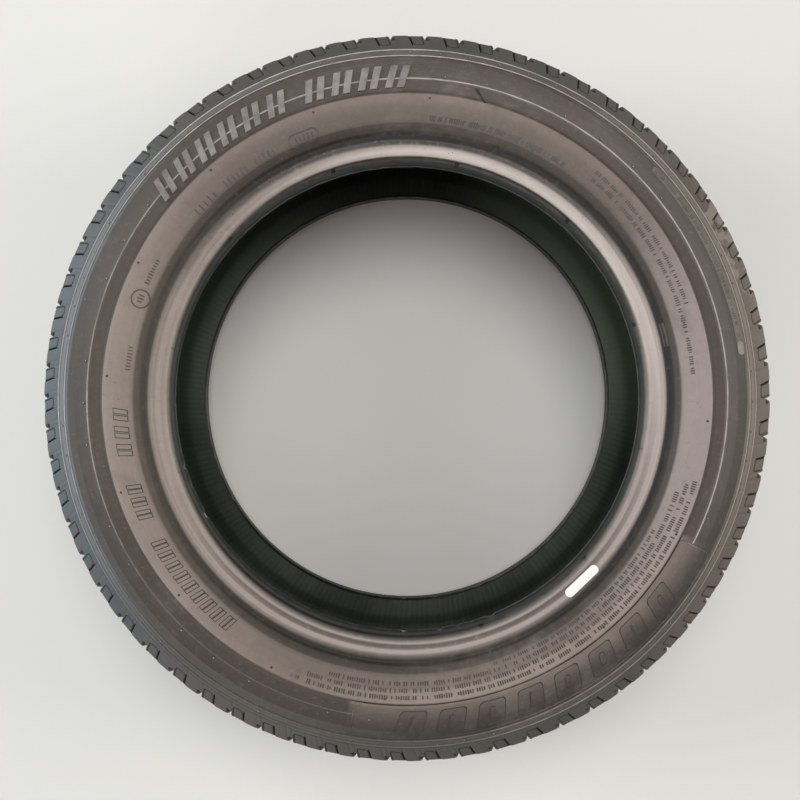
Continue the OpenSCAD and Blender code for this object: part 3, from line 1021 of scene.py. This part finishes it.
class Surface(Graph):
    """A material with the measures that the tyre's finishes share."""

    def __init__(self, name):
        self.material = bpy.data.materials.new(name)
        self.material.use_nodes = True
        super().__init__(self.material.node_tree)
        self.place = self.node("ShaderNodeTexCoord", out="Object")
        x, y, z = (self.node("ShaderNodeSeparateXYZ", None, [self.place], out=axis) for axis in "XYZ")
        self.r = (x * x + y * y) ** 0.5 * 1000.0
        self.turn = y.math("ARCTAN2", x)
        self.z = z * 1000.0 - HALF_W
        # the direction from the axis, which has no seam as the angle has
        self.cosine, self.sine = self.turn.math("COSINE"), self.turn.math("SINE")

    def value(self, name):
        return self.node("ShaderNodeAttribute", {"attribute_name": name}, out="Fac")

    def noise(self, scale, detail=3.0, roughness=0.55, place=None, warp=0.0):
        return self.node("ShaderNodeTexNoise", None,
                         {"Vector": place or self.place, "Scale": scale, "Detail": detail,
                          "Roughness": roughness, "Distortion": warp})

    def streaks(self, fineness, draw, detail=4.0, roughness=0.6):
        """Noise drawn out round the tyre; fineness is per millimetre of radius."""
        place = self.vector(self.r * fineness, self.cosine * draw, self.sine * draw)
        return self.noise(1.0, detail, roughness, place)

    def spokes(self, fineness, draw, detail=3.0):
        """Noise drawn out along the radius; fineness is in turns round the tyre."""
        place = self.vector(self.cosine * fineness, self.sine * fineness, self.r * draw)
        return self.noise(1.0, detail, 0.6, place)

    def near(self, degrees, half):
        """1 at a direction from the axis, in degrees from +X, falling to 0 at half degrees from it."""
        turn = math.radians(degrees)
        facing = self.cosine * math.cos(turn) + self.sine * math.sin(turn)
        return facing.above(math.cos(math.radians(half)), 1.0)

    def window(self, start, end, soft=1.2):
        """1 between two directions in degrees from +X, 0 outside them."""
        turn, half = math.radians((start + end) / 2), abs(end - start) / 2
        facing = self.cosine * math.cos(turn) + self.sine * math.sin(turn)
        return facing.above(math.cos(math.radians(half + soft)), math.cos(math.radians(half)))

    def ring(self, low, high, soft_in=1.5, soft_out=1.5):
        """1 between two radii in millimetres, with soft edges outside them."""
        return self.r.above(low - soft_in, low) * self.r.below(high, high + soft_out)

    def rings(self, stops, place):
        """A colour for each radius."""
        low, high = stops[0][0], stops[-1][0]
        shares = [((r - low) / (high - low), rgb(*shade)) for r, shade in stops]
        return self.node("ShaderNodeValToRGB", {"stops": shares}, [(place - low) / (high - low)])

    def finish(self, color, roughness, height=None, depth=0.4, **fixed):
        """Joins colour, roughness and relief (millimetres) to the shader."""
        inputs = {"Base Color": color, "Roughness": roughness, **fixed}
        if height is not None:
            inputs["Normal"] = self.node("ShaderNodeBump", None,
                                         {"Strength": 1.0, "Distance": depth * MM, "Height": height})
        shader = self.node("ShaderNodeBsdfPrincipled", None, inputs)
        self.node("ShaderNodeOutputMaterial", None, {"Surface": shader})
        return self.material


def sidewall_rubber():
    """Old sidewall rubber: dusty, pale on what stands proud (rubbed wear and painted highlight), with painted
    shade in the creases and painted highlights, sheen and shade round the bead and the ring.
    """
    s = Surface("sidewall rubber")
    wander = (s.streaks(0.25, 6.0, 3.0) - 0.5) * 0.5
    # on the bead the colour rings shift with the direction round the axis, which moves its painted highlights
    # and shade
    place = s.r + wander + (s.cosine * s.cosine * 2.2 - s.near(72.0, 84.0) * 2.0) * s.r.below(183.0, 189.0)
    # a colour for each radius, the rubber's own tones with painted light in them: painted green reflection and
    # shade on the near black seat, painted highlights on the bead's two swells with a dip between, painted
    # shade in the valley beyond the bead, and a plain band made paler by painted sheen
    color = s.rings([
        (172.0, (9, 16, 10)), (178.4, (14, 19, 13)), (179.2, (46, 49, 42)), (180.4, (108, 100, 92)),
        (182.0, (138, 128, 120)), (184.4, (108, 96, 90)), (187.6, (140, 129, 122)), (190.4, (120, 111, 104)),
        (192.4, (94, 88, 82)), (194.4, (56, 53, 48)), (196.4, (32, 30, 26)), (197.5, (44, 40, 35)),
        (198.4, (74, 67, 61)), (201.6, (80, 73, 67)), (202.2, (98, 88, 82)), (205.0, (112, 101, 94)),
        (214.0, (115, 103, 96)), (222.9, (126, 113, 106)), (223.8, (78, 69, 63)), (224.8, (68, 60, 55)),
        (227.0, (80, 71, 64)), (233.4, (78, 69, 63)), (238.0, (70, 63, 57)), (244.0, (64, 58, 53)),
        (250.0, (55, 51, 46)), (252.6, (60, 56, 51)), (257.0, (102, 97, 90)), (262.0, (62, 60, 55))], place)
    # the raised panel has painted shade along the foot of its inner edge and a painted highlight on its rim,
    # is as pale as the plain band there, and fades darker outwards
    on_panel = s.window(*PANEL) * s.r.above(223.6, 224.0) * s.r.below(252.2, 252.8)
    color = s.blend(on_panel, color, s.rings([
        (223.6, (120, 108, 101)), (224.2, (32, 29, 26)), (225.0, (44, 40, 36)), (225.7, (124, 112, 105)),
        (229.0, (118, 107, 100)), (236.0, (96, 87, 81)), (243.0, (72, 66, 61)), (252.0, (48, 45, 41))], place))
    proud, torn = s.value("proud"), s.value("torn")
    bead = s.r.below(191.0, 193.0)
    outer = s.r.above(233.0, 238.0)

    # dust lies in broad uneven patches, in soft blotches and in fine lines that follow the ring
    broad = s.noise(5.5, 3.0, 0.5)
    patchy = s.noise(24.0, 5.0, 0.6, warp=0.5)
    lines = s.streaks(0.9, 4.0, 5.0, 0.7)
    grain = s.noise(240.0, 4.0, 0.75)
    fine = s.noise(900.0, 2.0, 0.7)
    mottle = s.noise(95.0, 3.0, 0.65)
    dusty = s.r.above(178.8, 180.5)
    dust = (broad - 0.5) * 1.1 + (patchy - 0.5) * 0.9 + (mottle - 0.5) * 0.6
    dust = dust + (lines - 0.5) * (0.25 + outer * 0.35 + bead * 0.9)
    color = s.blend(dust.above(0.0, 0.7) * 0.30 * dusty, color, rgb(168, 158, 150))
    color = s.blend(dust.below(-0.7, 0.0) * 0.42, color, rgb(42, 39, 35))
    spread = 0.75 + 0.5 * (lines + patchy - 0.75)
    # broad patches round the ring: painted light and shade with some dust among them (painted highlights and
    # sheen on the bead, painted shade, a bluish painted light at -X): middle and half width in degrees, radii,
    # softness, strength, shade
    for degrees, half, low, high, soft_in, soft_out, amount, shade in (
            (60, 85, 181.2, 187.6, 1.5, 1.5, 0.70, (216, 204, 198)),
            (-2, 50, 180.4, 190.0, 1.5, 1.5, 0.24, (206, 192, 190)),
            (180, 66, 180.0, 186.0, 1.5, 3.0, 0.36, (196, 182, 172)),
            (92, 72, 190.2, 195.0, 4.6, 1.5, 1.1, (38, 35, 33)),
            (-82, 88, 183.6, 185.6, 1.5, 1.5, 0.55, (60, 53, 49)),
            (-82, 88, 187.4, 189.0, 1.5, 1.5, 0.34, (196, 184, 176)),
            (-82, 88, 181.4, 182.2, 1.5, 1.5, 0.30, (190, 178, 170)),
            (-90, 70, 179.0, 180.6, 1.5, 1.5, 0.40, (60, 54, 50)),
            (180, 66, 192.0, 201.5, 1.5, 1.5, 0.16, (150, 138, 128)),
            (-62, 52, 216.0, 223.4, 5.0, 1.5, 0.42, (176, 164, 156)),
            (-5, 50, 202.0, 223.2, 1.5, 0.3, 0.52, (178, 168, 166)),
            (-172, 62, 202.0, 223.2, 1.5, 0.3, 0.32, (178, 164, 154)),
            (88, 66, 202.0, 208.0, 1.5, 16.0, 0.40, (60, 55, 51)),
            (-110, 62, 228.0, 262.0, 1.5, 1.5, 0.34, (36, 34, 31)),
            (20, 70, 234.0, 250.0, 1.5, 1.5, 0.20, (150, 138, 130)),
            (105, 80, 236.0, 252.0, 1.5, 1.5, 0.20, (136, 127, 118)),
            (-4, 42, 244.5, 250.0, 1.5, 1.5, 0.42, (54, 46, 42)),
            (180, 60, 234.0, 252.0, 1.5, 1.5, 0.10, (128, 126, 118)),
            (-135, 56, 246.4, 252.0, 0.9, 1.5, 0.26, (118, 111, 101)),
            (180, 52, 252.6, 264.0, 1.5, 1.5, 0.26, (104, 134, 164)),
            (8, 54, 252.2, 254.0, 1.2, 1.2, 0.40, (166, 152, 138)),
            (175, 56, 252.2, 254.0, 1.2, 1.2, 0.28, (146, 148, 150)),
            (12, 54, 256.4, 259.4, 1.5, 1.5, 0.45, (176, 162, 148)),
            (0, 45, 189.6, 191.6, 1.5, 1.5, 0.5, (190, 176, 168)),
            (-160, 62, 189.6, 191.6, 1.5, 1.5, 0.5, (172, 158, 148)),
            (162, 70, 256.4, 259.4, 1.5, 1.5, 0.46, (156, 158, 158)),
            (-4, 46, 192.4, 194.2, 1.0, 1.2, 0.6, (40, 46, 60))):
        # each patch paints light or shade, with some dust, on part of the ring
        patch = s.near(degrees, half) * s.ring(low, high, soft_in, soft_out)
        color = s.blend(patch * spread * amount, color, rgb(*shade))
    stains = s.noise(13.0, 4.0, 0.6, warp=1.0).above(0.54, 0.72) * s.ring(203.0, 222.5)
    color = s.blend(stains * 0.34, color, rgb(70, 63, 58))
    # pale along ribs and on what stands proud, partly scuffed wear and partly painted highlight, more on some
    # sides than others; painted shade, near black, in the creases
    stretches = s.noise(1.0, 5.0, 0.65, s.vector(s.cosine * 22.0, s.sine * 22.0, s.r * 0.5))
    facing = 0.42 + 0.58 * s.near(140.0, 160.0)
    ribs = s.r.above(230.0, 232.0) * facing.math("MAXIMUM", s.r.below(238.0, 240.0))
    ribs = ribs + bead * 0.25 * s.near(-140.0, 95.0).math("MAXIMUM", s.r.above(174.0, 177.0))
    wear_and_highlight = (0.15 + 1.9 * (stretches - 0.2)).math("MAXIMUM", 0.15).math("MINIMUM", 1.0)
    wear_and_highlight = wear_and_highlight * (1.0 - s.near(-122.0, 64.0) * 0.85) * (1.0 - s.near(157.0, 26.0) * 0.5)
    color = s.blend(proud.above(0.03, 0.26) * ribs * wear_and_highlight, color, rgb(204, 199, 194))
    # painted shade in the creases and notches
    color = s.blend(proud.below(-0.45, -0.08) * 0.6, color, rgb(32, 30, 27))
    # a few pale specks of dried mud and dark pits
    cell = s.node("ShaderNodeTexVoronoi", None, {"Vector": s.place, "Scale": 260.0})
    specks = cell.below(0.07, 0.13) * s.noise(60.0, 2.0).above(0.66, 0.72)
    pits = s.node("ShaderNodeTexVoronoi", None, {"Vector": s.place, "Scale": 150.0}).below(0.05, 0.11)
    pits = pits * s.noise(36.0, 2.0).above(0.58, 0.66)
    color = s.blend(specks * dusty * 0.5, color, rgb(176, 168, 156))
    color = s.blend(pits * 0.6, color, rgb(40, 37, 34))
    chips = s.noise(170.0, 3.0, 0.6).above(0.50, 0.60)
    color = s.blend(torn.above(0.12, 0.5) * chips * s.z.above(0.0, 10.0), color, rgb(150, 150, 138))
    # soot on the pads, and fine grain all over
    color = s.blend(s.value("sooty") * 0.26, color, rgb(40, 37, 34))
    color = s.blend((grain - 0.5).above(0.02, 0.3) * (0.12 + bead * 0.2) * dusty, color, rgb(182, 172, 163))
    color = s.blend((0.5 - grain).above(0.02, 0.3) * 0.20, color, rgb(30, 28, 26))
    roughness = 0.60 + (patchy - 0.5) * 0.25 - bead * 0.16 + (grain - 0.5) * 0.15
    height = fine * 0.10 + grain * 0.30 + lines * 0.22 + patchy * 0.2 - pits * 0.5 + specks * 0.3
    return s.finish(color, roughness, height, 0.22, **{"Specular IOR Level": 0.32})


def liner_rubber():
    """Inside of the casing: near black, with fine raised lines across it left by the mould bladder, a painted
    green reflection in its colour, and painted light and shade by direction.
    """
    s = Surface("liner rubber")
    ridges = ((s.turn * 257.0 + s.r * 0.10 + (s.spokes(3.0, 8.0) - 0.5) * 5.0).math("SINE") * 0.5 + 0.5)
    broad = s.noise(9.0, 3.0)
    smear = s.spokes(26.0, 0.03, 4.0)
    blotch = s.noise(75.0, 5.0, 0.65)
    # the green in the liner's colours is painted reflected light
    color = s.blend(ridges * 0.26 + smear.above(0.45, 0.75) * 0.3, rgb(72, 80, 70), rgb(106, 112, 100))
    color = s.blend(blotch.above(0.45, 0.75) * 0.35, color, rgb(104, 106, 92))
    color = s.blend(broad.below(0.35, 0.55) * 0.5, color, rgb(42, 49, 41))
    color = s.blend(s.z.below(-74.0, -66.0) * blotch.above(0.5, 0.7) * 0.4, color, rgb(96, 94, 80))
    # painted shade towards +Y, painted light towards 32 and 150 degrees
    for degrees, half, amount, shade in ((85, 50, 0.6, (22, 25, 21)), (32, 50, 0.62, (158, 164, 150)),
                                         (150, 46, 0.36, (150, 156, 142))):
        color = s.blend(s.near(degrees, half) * amount, color, rgb(*shade))
    roughness = 0.55 + (broad - 0.5) * 0.2
    height = ridges * 0.5 + s.noise(500.0, 3.0) * 0.15
    return s.finish(color, roughness, height, 0.3)


def tread_rubber():
    """Tread rubber: grey and worn smooth on top, dark in the cuts from painted shade and dirt, with painted
    light and shade on the shoulders.
    """
    s = Surface("tread rubber")
    deep, rubbed, tread = s.value("deep"), s.value("rubbed"), s.value("tread")
    broad = s.noise(6.0, 3.0)
    patchy = s.noise(34.0, 5.0, 0.6, warp=0.5)
    fine = s.noise(460.0, 4.0, 0.7)
    along_ring = s.vector(s.cosine * 30.0, s.sine * 30.0, s.z * 1.6)
    scuffs = s.noise(1.0, 5.0, 0.7, along_ring)
    face = s.blend(tread, rgb(92, 91, 86), rgb(82, 79, 75))
    color = s.blend((patchy + broad - 0.7).above(0.05, 0.6) * 0.5, face, rgb(124, 119, 111))
    color = s.blend((patchy + broad).below(0.6, 1.0) * 0.4, color, rgb(58, 56, 52))
    color = s.blend(scuffs.above(0.5, 0.72) * tread * 0.4, color, rgb(116, 112, 106))
    # on the shoulders' faces, painted by direction: painted shade towards +Y and -Y, a warm painted light at
    # +X and a bluish painted light at -X
    color = s.blend(s.near(88.0, 80.0) * (1.0 - tread) * 0.62, color, rgb(34, 33, 30))
    color = s.blend(s.near(-92.0, 105.0) * (1.0 - tread) * 0.62, color, rgb(34, 32, 29))
    color = s.blend(s.near(0.0, 60.0) * (1.0 - tread) * 0.45, color, rgb(106, 91, 78))
    color = s.blend(s.near(180.0, 60.0) * (1.0 - tread) * 0.44, color, rgb(74, 94, 108))
    scratched = s.near(26.0, 14.0) * s.noise(60.0, 4.0, 0.6).above(0.5, 0.6) * (1.0 - tread)
    color = s.blend(scratched * 0.6, color, rgb(146, 136, 124))
    color = s.blend(rubbed * (0.25 + 0.9 * (patchy - 0.25)).math("MAXIMUM", 0.0), color, rgb(150, 147, 141))
    # painted shade, with dirt, in the cuts, grooves and scoop outlines that deep marks
    color = s.blend(deep.above(0.05, 0.6) * 0.88, color, rgb(27, 26, 23))
    mud = deep.above(0.5, 1.0) * s.noise(90.0, 4.0).above(0.5, 0.68)
    color = s.blend(mud * 0.6, color, rgb(98, 86, 70))
    roughness = 0.66 + (patchy - 0.5) * 0.2 + deep * 0.1
    height = fine * 0.25 + scuffs * tread * 0.4 + patchy * 0.25
    return s.finish(color, roughness, height, 0.25)


def two_tone_mark(name, top, ground):
    """A raised mark: its rubber is rubbed to one shade and dusted in places; the same mix of two tones also
    makes painted shade round marks and in a tear.
    """
    s = Surface(name)
    patchy = s.noise(110.0, 5.0, 0.65)
    broad = s.noise(14.0, 3.0)
    fine = s.noise(600.0, 3.0, 0.7)
    color = s.blend((patchy * 0.7 + broad * 0.6).above(0.45, 0.9), rgb(*ground), rgb(*top))
    color = s.blend(fine.above(0.55, 0.8) * 0.35, color, rgb(62, 59, 55))
    return s.finish(color, 0.62 + (patchy - 0.5) * 0.2, fine * 0.2 + patchy * 0.3, 0.2)


def label_paper():
    """White paper label, a little soiled, with two groups of faint thin strokes."""
    s = Surface("label paper")
    along, across = s.value("along"), s.value("across")
    strokes = 0.0
    for place, strength in ((0.19, 0.8), (0.165, 0.45), (0.09, 0.35), (-0.12, 0.25), (-0.18, 0.35),
                            (-0.27, 0.25), (-0.32, 0.3)):
        strokes = along.hump(place, 0.012) * strength + strokes
    strokes = strokes * across.above(0.1, 0.16) * across.below(0.34, 0.4)
    grime = s.noise(160.0, 5.0, 0.6)
    edge = across.math("ABSOLUTE").above(0.44, 0.5)
    color = s.blend(grime.above(0.5, 0.8) * 0.25, rgb(243, 241, 236), rgb(205, 198, 186))
    color = s.blend(edge * grime.above(0.35, 0.7) * 0.4, color, rgb(176, 166, 150))
    color = s.blend(strokes, color, rgb(120, 112, 104))
    return s.finish(color, 0.45 + (grime - 0.5) * 0.2, grime * 0.3 + s.noise(900.0, 2.0) * 0.1, 0.08)


def floor_paper():
    s = Surface("floor")
    return s.finish(rgb(226, 226, 222), 0.9)


# ---------------------------------------------------------------- the pieces together

def keep(item, *finishes):
    """Gives a piece its materials, unless it has them, and lets it ride on the tyre."""
    for finish in finishes:
        item.data.materials.append(finish)
    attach(item, "root")
    return item


wall_finish, liner_finish, tread_finish = sidewall_rubber(), liner_rubber(), tread_rubber()
bold_finish = two_tone_mark("bold mark rubber", (146, 141, 136), (98, 93, 88))
# the feet's dark colour is painted shadow round the marks
painted_shade_finish = two_tone_mark("painted shade rubber", (58, 54, 50), (46, 43, 40))
# the small marks are darker than the band round them: painted shade on small raised marks
small_finish = two_tone_mark("small mark rubber", (92, 84, 79), (66, 61, 57))
soft_painted_shade = two_tone_mark("text foot painted shade", (86, 79, 74), (66, 60, 56))
pale_finish = two_tone_mark("pale mark rubber", (150, 145, 138), (128, 123, 117))
strip_finish = two_tone_mark("strip rubber", (118, 109, 102), (92, 85, 79))

casing = build_casing()
keep(casing, wall_finish, liner_finish)
inside = np.zeros(len(casing.data.vertices), dtype=np.float32)
casing.data.attributes["inner"].data.foreach_get("value", inside)
row_count = len(inside) // CASING_COLUMNS
inner_rows = inside[:row_count] > 0.5
inner_faces = np.tile(inner_rows & np.roll(inner_rows, -1), CASING_COLUMNS)
casing.data.polygons.foreach_set("material_index", inner_faces.astype(np.int32))
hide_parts("tyre")

for shoulder in (build_shoulder("shoulder_upper", 1), build_shoulder("shoulder_lower", -1)):
    keep(shoulder, tread_finish)
keep(build_ribs(), tread_finish)

# the raised panel with its row of slanted pads
keep(build_plate("panel", PANEL, PANEL_R, 5.0, rimmed(0.15, 0.55), rim_wear_and_shade=0.12), wall_finish)
PAD_ROW = dict(count=8, turn_range=(-35.0, -93.0), r_range=(229.6, 248.6), width=20.0, lean=BAR_LEAN)
keep(build_pads("pads", feet=False, **PAD_ROW), wall_finish)
keep(build_pads("pad_shadow_feet", feet=True, **PAD_ROW), painted_shade_finish)

# two rows of bold slanted bars
bold = bar_run(-219.8, -247.6, 228.0, 245.4, [4.4, 4.4] * 6, [3.0, 5.8] * 6)
bold += bar_run(-251.6, -270.0, 228.0, 245.4, [4.4, 4.4] * 4, [3.0, 5.2] * 4)
keep(bold_bars("bold_bars", bold, 1.0), bold_finish)

# rows of small marks: name, middle radius, from and to, count, width, height, proud, more
block_tree, dot_tree = marks_tree("block marks", False), marks_tree("dot marks", True)
text = dict(Uneven=0.45, Kept=0.92, Foot=0.35 * MM)
words = {**text, "Word": 9.0, "Long Word": 13.0}
SMALL_ROWS = [
    ("fine_row_1", 218.9, (-15.5, -113.0), 212, 0.75, 3.4, 0.24, dict(words, Seed=2)),
    ("fine_row_2", 213.6, (-16.5, -111.0), 206, 0.75, 3.2, 0.24, dict(words, Seed=3)),
    ("fine_row_3", 208.6, (-19.0, -106.0), 184, 0.75, 3.2, 0.24, dict(words, Seed=4)),
    ("fine_row_4", 204.2, (-28.0, -72.0), 92, 0.7, 2.8, 0.24, dict(words, Seed=16)),
    ("code_row_1", 205.2, (-221.0, -227.2), 5, 0.9, 6.2, 0.22, dict(text, Kept=1.0, Seed=5)),
    ("code_row_2", 205.2, (-229.2, -235.4), 6, 0.9, 6.2, 0.22, dict(text, Kept=1.0, Seed=6)),
    ("code_row_3", 205.2, (-236.8, -242.0), 5, 0.9, 6.2, 0.22, dict(text, Kept=1.0, Seed=7)),
    ("date_row", 205.2, (-246.2, -250.6), 5, 0.8, 4.8, 0.22, dict(text, Kept=1.0, Seed=8)),
    ("wide_row", 205.6, (-274.0, -304.0), 66, 0.8, 4.4, 0.20, dict(words, Lean=-0.25, Seed=9)),
    ("long_row_1", 215.3, (-309.7, -341.3), 70, 0.7, 2.9, 0.20, dict(words, Seed=10)),
    ("long_row_2", 209.5, (-310.0, -355.6), 98, 0.7, 2.9, 0.20, dict(words, Seed=11)),
    ("number_row", 208.1, (-203.6, -209.2), 9, 0.8, 3.8, 0.20, dict(text, Kept=1.0, Seed=12)),
    ("tiny_row", 205.6, (-185.6, -190.8), 8, 0.7, 3.4, 0.20, dict(text, Kept=1.0, Seed=13)),
    ("circle_row", 208.2, (-199.6, -201.5), 3, 0.9, 5.2, 0.25, dict(text, Kept=1.0, Seed=14)),
    ("strip_row", 249.0, (-318.5, -349.5), 80, 0.8, 3.0, 0.65, dict(words, Seed=15)),
]
for name, r, turns, count, long, tall, proud, more in SMALL_ROWS:
    keep(mark_row(name, block_tree, small_finish, soft_painted_shade, r, turns, count, long, tall, proud, **more))

# larger bars in pairs, in the ground's own shade, on dark feet that show round them as painted shadow
pairs = []
for start, end, count in ((-127.9, -150.2, 9), (-155.4, -162.4, 3), (-168.6, -177.8, 3)):
    pairs += bar_run(start, end, 205.2, 214.8, [2.3, 2.3] * count, [1.3, 4.0] * count)
keep(bold_bars("size_bars", pairs, 0.42, 0.5, 0.15, 0.2), wall_finish)
feet = [(middle, r_in - 0.55, r_out + 0.55, width + 1.1) for middle, r_in, r_out, width in pairs]
keep(bold_bars("size_shadow_feet", feet, 0.1, 0.5, 0.05, 0.2), painted_shade_finish)
# a torn flap beside the sunk band, its near black colour the painted shade of the tear
crack_shade_finish = two_tone_mark("crack painted shade", (36, 33, 31), (26, 24, 22))
cracks = [(76.25, 223.4, 232.4, 1.5), (77.0, 228.6, 233.0, 2.3)]
keep(bold_bars("tear", cracks, 0.3, 0.5, 0.1, -0.88), crack_shade_finish)

# vent nubs beside the ribs, standing on feet of painted shadow, and the vent holes of the plain band as dark
# dots, their dark a painted shade
keep(mark_row("vent_nubs_1", dot_tree, pale_finish, painted_shade_finish, 237.6, (-3.0, -363.0), 48, 1.1, 1.1, 0.5,
              Kept=0.42, Foot=0.5 * MM, Seed=21))
keep(mark_row("vent_nubs_2", dot_tree, pale_finish, painted_shade_finish, 256.8, (-8.0, -368.0), 72, 1.0, 1.0, 0.6,
              Kept=0.45, Foot=0.5 * MM, Seed=22))
keep(mark_row("vent_holes", dot_tree, painted_shade_finish, painted_shade_finish, 220.2, (6.95, -353.05), 16, 1.2, 1.2, 0.06,
              Kept=0.9, Foot=0.6 * MM, Seed=23))

# wear bars across the four grooves of the tread
for number, z in enumerate((-OUTER_GROOVE, -INNER_GROOVE, INNER_GROOVE, OUTER_GROOVE)):
    keep(grown(f"wear_bars_{number + 1}", block_tree, {
        **EVEN_ROW, "Radius": GROOVE_FLOOR_R * MM, "Height": (HALF_W + z) * MM, "Tilt": math.pi / 2,
        "From": 0.0, "To": 2 * math.pi, "Count": WEAR_BARS, "Long": WEAR_BAR_LEN * MM,
        "Tall": (GROOVE_W - 0.6) * MM, "Thick": 2 * WEAR_BAR_H * MM, "Foot": 0.4 * MM, "Foot Thick": 0.4 * MM,
        "Seed": 31, "Material": tread_finish, "Foot Material": tread_finish}))

# outlined marks
keep(wall_loop("circle_mark", 208.2, -200.5, 6.6, 6.6, 6.6, 0.9, 0.35), small_finish)
keep(wall_loop("oval_mark", 205.3, -248.3, 11.2, 4.4, 4.3, 0.8, 0.3), small_finish)
keep(build_plate("long_strip", (-352.6, -316.8), (246.4, 251.6), 2.5, rimmed(0.3, 0.15)), strip_finish)
keep(build_plate("strip_end", (-352.6, -350.2), (246.5, 251.5), 2.5, rimmed(0.5, 0.1), 0.8), pale_finish)
keep(build_plate("small_plate", (-348.8, -343.4), (194.0, 197.8), 1.0, rimmed(0.7, 0.7), 0.8), small_finish)

label = build_label()
label.data.materials.append(label_paper())
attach(label, "root")
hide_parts("bead_label")

# ---------------------------------------------------------------- floor and lamps

floor_mesh = bpy.data.meshes.new("floor")
corners = [(4 * x, 4 * y, -0.0004) for x, y in ((-1, -1), (1, -1), (1, 1), (-1, 1))]
floor_mesh.from_pydata(corners, [], [(0, 1, 2, 3)])
floor = bpy.data.objects.new("floor", floor_mesh)
bpy.context.scene.collection.objects.link(floor)
floor_mesh.materials.append(floor_paper())


def soft_lamp(name, place, aim, size, power, color, spread=180):
    lamp = bpy.data.objects.new(name, bpy.data.lights.new(name, "AREA"))
    bpy.context.scene.collection.objects.link(lamp)
    lamp.data.shape, lamp.data.size = "DISK", size
    lamp.data.energy, lamp.data.color = power, color
    lamp.data.spread = math.radians(spread)
    lamp.location = place
    lamp.rotation_euler = (Vector(aim) - Vector(place)).to_track_quat("-Z", "Y").to_euler()


soft_lamp("key lamp", (0.1, 0.8, 2.3), (0, 0, 0), 1.5, 27, (1.0, 0.985, 0.965))
soft_lamp("left lamp", (-3.42, 0.57, 1.36), (0, 0, 0.08), 1.9, 24, (0.90, 0.95, 1.0), 100)
soft_lamp("right lamp", (3.42, 0.38, 1.55), (0, 0, 0.08), 1.9, 16, (1.0, 0.97, 0.94), 100)
soft_lamp("near lamp", (-1.33, -3.23, 1.08), (0, 0, 0.08), 1.7, 11.5, (1.0, 0.98, 0.96), 100)
world = bpy.data.worlds.new("studio")
bpy.context.scene.world = world
world.use_nodes = True
world.node_tree.nodes["Background"].inputs["Color"].default_value = (0.95, 0.93, 0.91, 1.0)
world.node_tree.nodes["Background"].inputs["Strength"].default_value = 0.33
